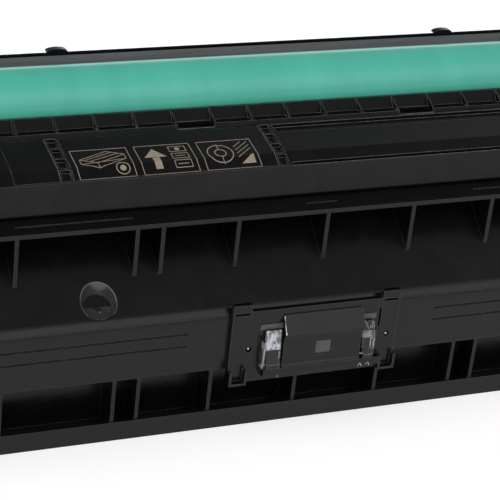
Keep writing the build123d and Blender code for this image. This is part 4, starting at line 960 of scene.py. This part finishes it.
def add_pin(shape, x, sizes):
    """A round-nosed locating pin, sunk in its hole in the sensor plate."""
    plate_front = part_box("sensor_hood")[1].y
    length, sunk, nose_share = 1.6 * MM, 0.3 * MM, 0.55
    middle = Matrix.Translation((x, plate_front + length / 2 + sunk, sizes.pin_height))
    turn = Matrix.Rotation(math.radians(90), 4, "X")
    made = bmesh.ops.create_cone(
        shape, cap_ends=True, segments=24, radius1=sizes.pin, radius2=sizes.pin, depth=length,
        matrix=middle @ turn,
    )
    nose = [
        edge for edge in edges_of(made["verts"])
        if all(vert.co.y < plate_front + length / 2 for vert in edge.verts)
    ]
    round_edges(shape, nose, nose_share * sizes.pin, 3)


class CARTRIDGE_OT_stage(Operator):
    """Sets the floor, the light and the camera"""
    bl_idname = "cartridge.stage"
    bl_label = "Set Stage"

    def execute(self, context):
        studio = context.scene.cartridge_studio
        set_world(context.scene, studio)
        lay_floor(studio)
        aim_camera(context.scene, studio)
        return {"FINISHED"}


def set_world(scene, studio):
    """Soft light from four walls, each brightest low down, under a dim ceiling."""
    scene.view_settings.view_transform = "Standard"
    world = bpy.data.worlds.new("studio")
    world.use_nodes = True
    scene.world = world
    nodes, links = world.node_tree.nodes, world.node_tree.links

    def math_node(operation, first, second=0.0):
        node = nodes.new("ShaderNodeMath")
        node.operation = operation
        for socket, value in zip(node.inputs, (first, second)):
            if isinstance(value, bpy.types.NodeSocket):
                links.new(value, socket)
            else:
                socket.default_value = value
        return node.outputs[0]

    coordinates = nodes.new("ShaderNodeTexCoord")
    parts = nodes.new("ShaderNodeSeparateXYZ")
    links.new(coordinates.outputs["Generated"], parts.inputs["Vector"])
    x, y, z = parts.outputs
    height = math_node("DIVIDE", math_node("ARCSINE", z), math.pi / 2)
    across = math_node("SUBTRACT", 1.0, math_node("MULTIPLY", z, z))
    level_part = math_node("MAXIMUM", across, NEARLY_UPRIGHT)
    total = None
    for wall, toward in WALLS.items():
        along = y if wall in ("front", "back") else x
        facing = math_node("MAXIMUM", math_node("MULTIPLY", along, toward), 0.0)
        share = math_node("DIVIDE", math_node("MULTIPLY", facing, facing), level_part)
        ramp = nodes.new("ShaderNodeValToRGB")
        links.new(height, ramp.inputs["Fac"])
        levels = [*getattr(studio, wall), studio.ceiling]
        stops = ramp.color_ramp.elements
        while len(stops) < len(levels):
            stops.new(0.5)
        for stop, degrees, level in zip(stops, WALL_HEIGHTS, levels):
            stop.position = degrees / 90
            stop.color = (*[level / WALL_PEAK] * 3, 1.0)
        part = math_node("MULTIPLY", share, ramp.outputs["Color"])
        total = part if total is None else math_node("ADD", total, part)
    links.new(total, nodes["Background"].inputs["Color"])
    nodes["Background"].inputs["Strength"].default_value = WALL_PEAK


def lay_floor(studio):
    """A level floor, white to the camera apart from the object's shadow."""
    shape = bmesh.new()
    bmesh.ops.create_grid(shape, x_segments=1, y_segments=1, size=4.0)
    mesh = bpy.data.meshes.new("floor")
    shape.to_mesh(mesh)
    shape.free()
    floor = bpy.data.objects.new("floor", mesh)
    bpy.context.scene.collection.objects.link(floor)
    material, shader = start_finish("floor_white", (0.80, 0.80, 0.80), 0.9, specular=0.0)
    paths = add(material, "ShaderNodeLightPath")
    shader.inputs["Emission Color"].default_value = WHITE
    seen = paths.outputs["Is Camera Ray"]
    for ray in ("Is Glossy Ray", "Is Transmission Ray"):
        either = material.node_tree.nodes.new("ShaderNodeMath")
        either.operation = "MAXIMUM"
        link(material, seen, either.inputs[0])
        link(material, paths.outputs[ray], either.inputs[1])
        seen = either.outputs[0]
    glow = material.node_tree.nodes.new("ShaderNodeMath")
    glow.operation = "MULTIPLY"
    link(material, seen, glow.inputs[0])
    glow.inputs[1].default_value = studio.floor_glow
    link(material, glow.outputs[0], shader.inputs["Emission Strength"])
    mesh.materials.append(material)


def aim_camera(scene, studio):
    """The camera at the photograph's viewing angle."""
    camera = bpy.data.objects.new("camera", bpy.data.cameras.new("camera"))
    scene.collection.objects.link(camera)
    camera.data.lens = studio.lens
    camera.data.clip_start = 0.01
    camera.data.clip_end = 50.0
    turn = (
        Matrix.Rotation(-studio.azimuth, 4, "Z")
        @ Matrix.Rotation(math.pi / 2 - studio.elevation, 4, "X")
        @ Matrix.Rotation(studio.roll, 4, "Z")
    )
    back_off = Matrix.Translation((0.0, 0.0, studio.distance))
    camera.matrix_world = Matrix.Translation(studio.aim) @ turn @ back_off
    scene.camera = camera


class CARTRIDGE_PT_finish(Panel):
    """Lists the steps that dress the cartridge"""
    bl_label = "Cartridge Finish"
    bl_idname = "CARTRIDGE_PT_finish"
    bl_space_type = "VIEW_3D"
    bl_region_type = "UI"
    bl_category = "Cartridge"

    def draw(self, context):
        for step in STEPS:
            self.layout.operator(step.bl_idname)
        for group in SETTINGS:
            box = self.layout.box()
            settings = getattr(context.scene, group)
            for name in settings.bl_rna.properties.keys():
                if name not in ("rna_type", "name"):
                    box.prop(settings, name)


STEPS = (
    CARTRIDGE_OT_dress_mouldings,
    CARTRIDGE_OT_dress_drum,
    CARTRIDGE_OT_dress_rollers,
    CARTRIDGE_OT_dress_drive,
    CARTRIDGE_OT_dress_fittings,
    CARTRIDGE_OT_print_panels,
    CARTRIDGE_OT_gate_and_lip_reflection,
    CARTRIDGE_OT_sensor_optics,
    CARTRIDGE_OT_stage,
)
SETTINGS = {
    "cartridge_colours": CartridgeColours,
    "cartridge_print": CartridgePrint,
    "cartridge_details": CartridgeDetails,
    "cartridge_sensor": CartridgeSensor,
    "cartridge_studio": CartridgeStudio,
}


def register():
    for name, group in SETTINGS.items():
        bpy.utils.register_class(group)
        setattr(bpy.types.Scene, name, PointerProperty(type=group))
    for step in (*STEPS, CARTRIDGE_PT_finish):
        bpy.utils.register_class(step)


def unregister():
    for step in (CARTRIDGE_PT_finish, *reversed(STEPS)):
        bpy.utils.unregister_class(step)
    for name, group in SETTINGS.items():
        delattr(bpy.types.Scene, name)
        bpy.utils.unregister_class(group)


def main():
    """Runs every step in order."""
    register()
    for step in STEPS:
        group, name = step.bl_idname.split(".")
        getattr(getattr(bpy.ops, group), name)()


if __name__ == "__main__":
    main()
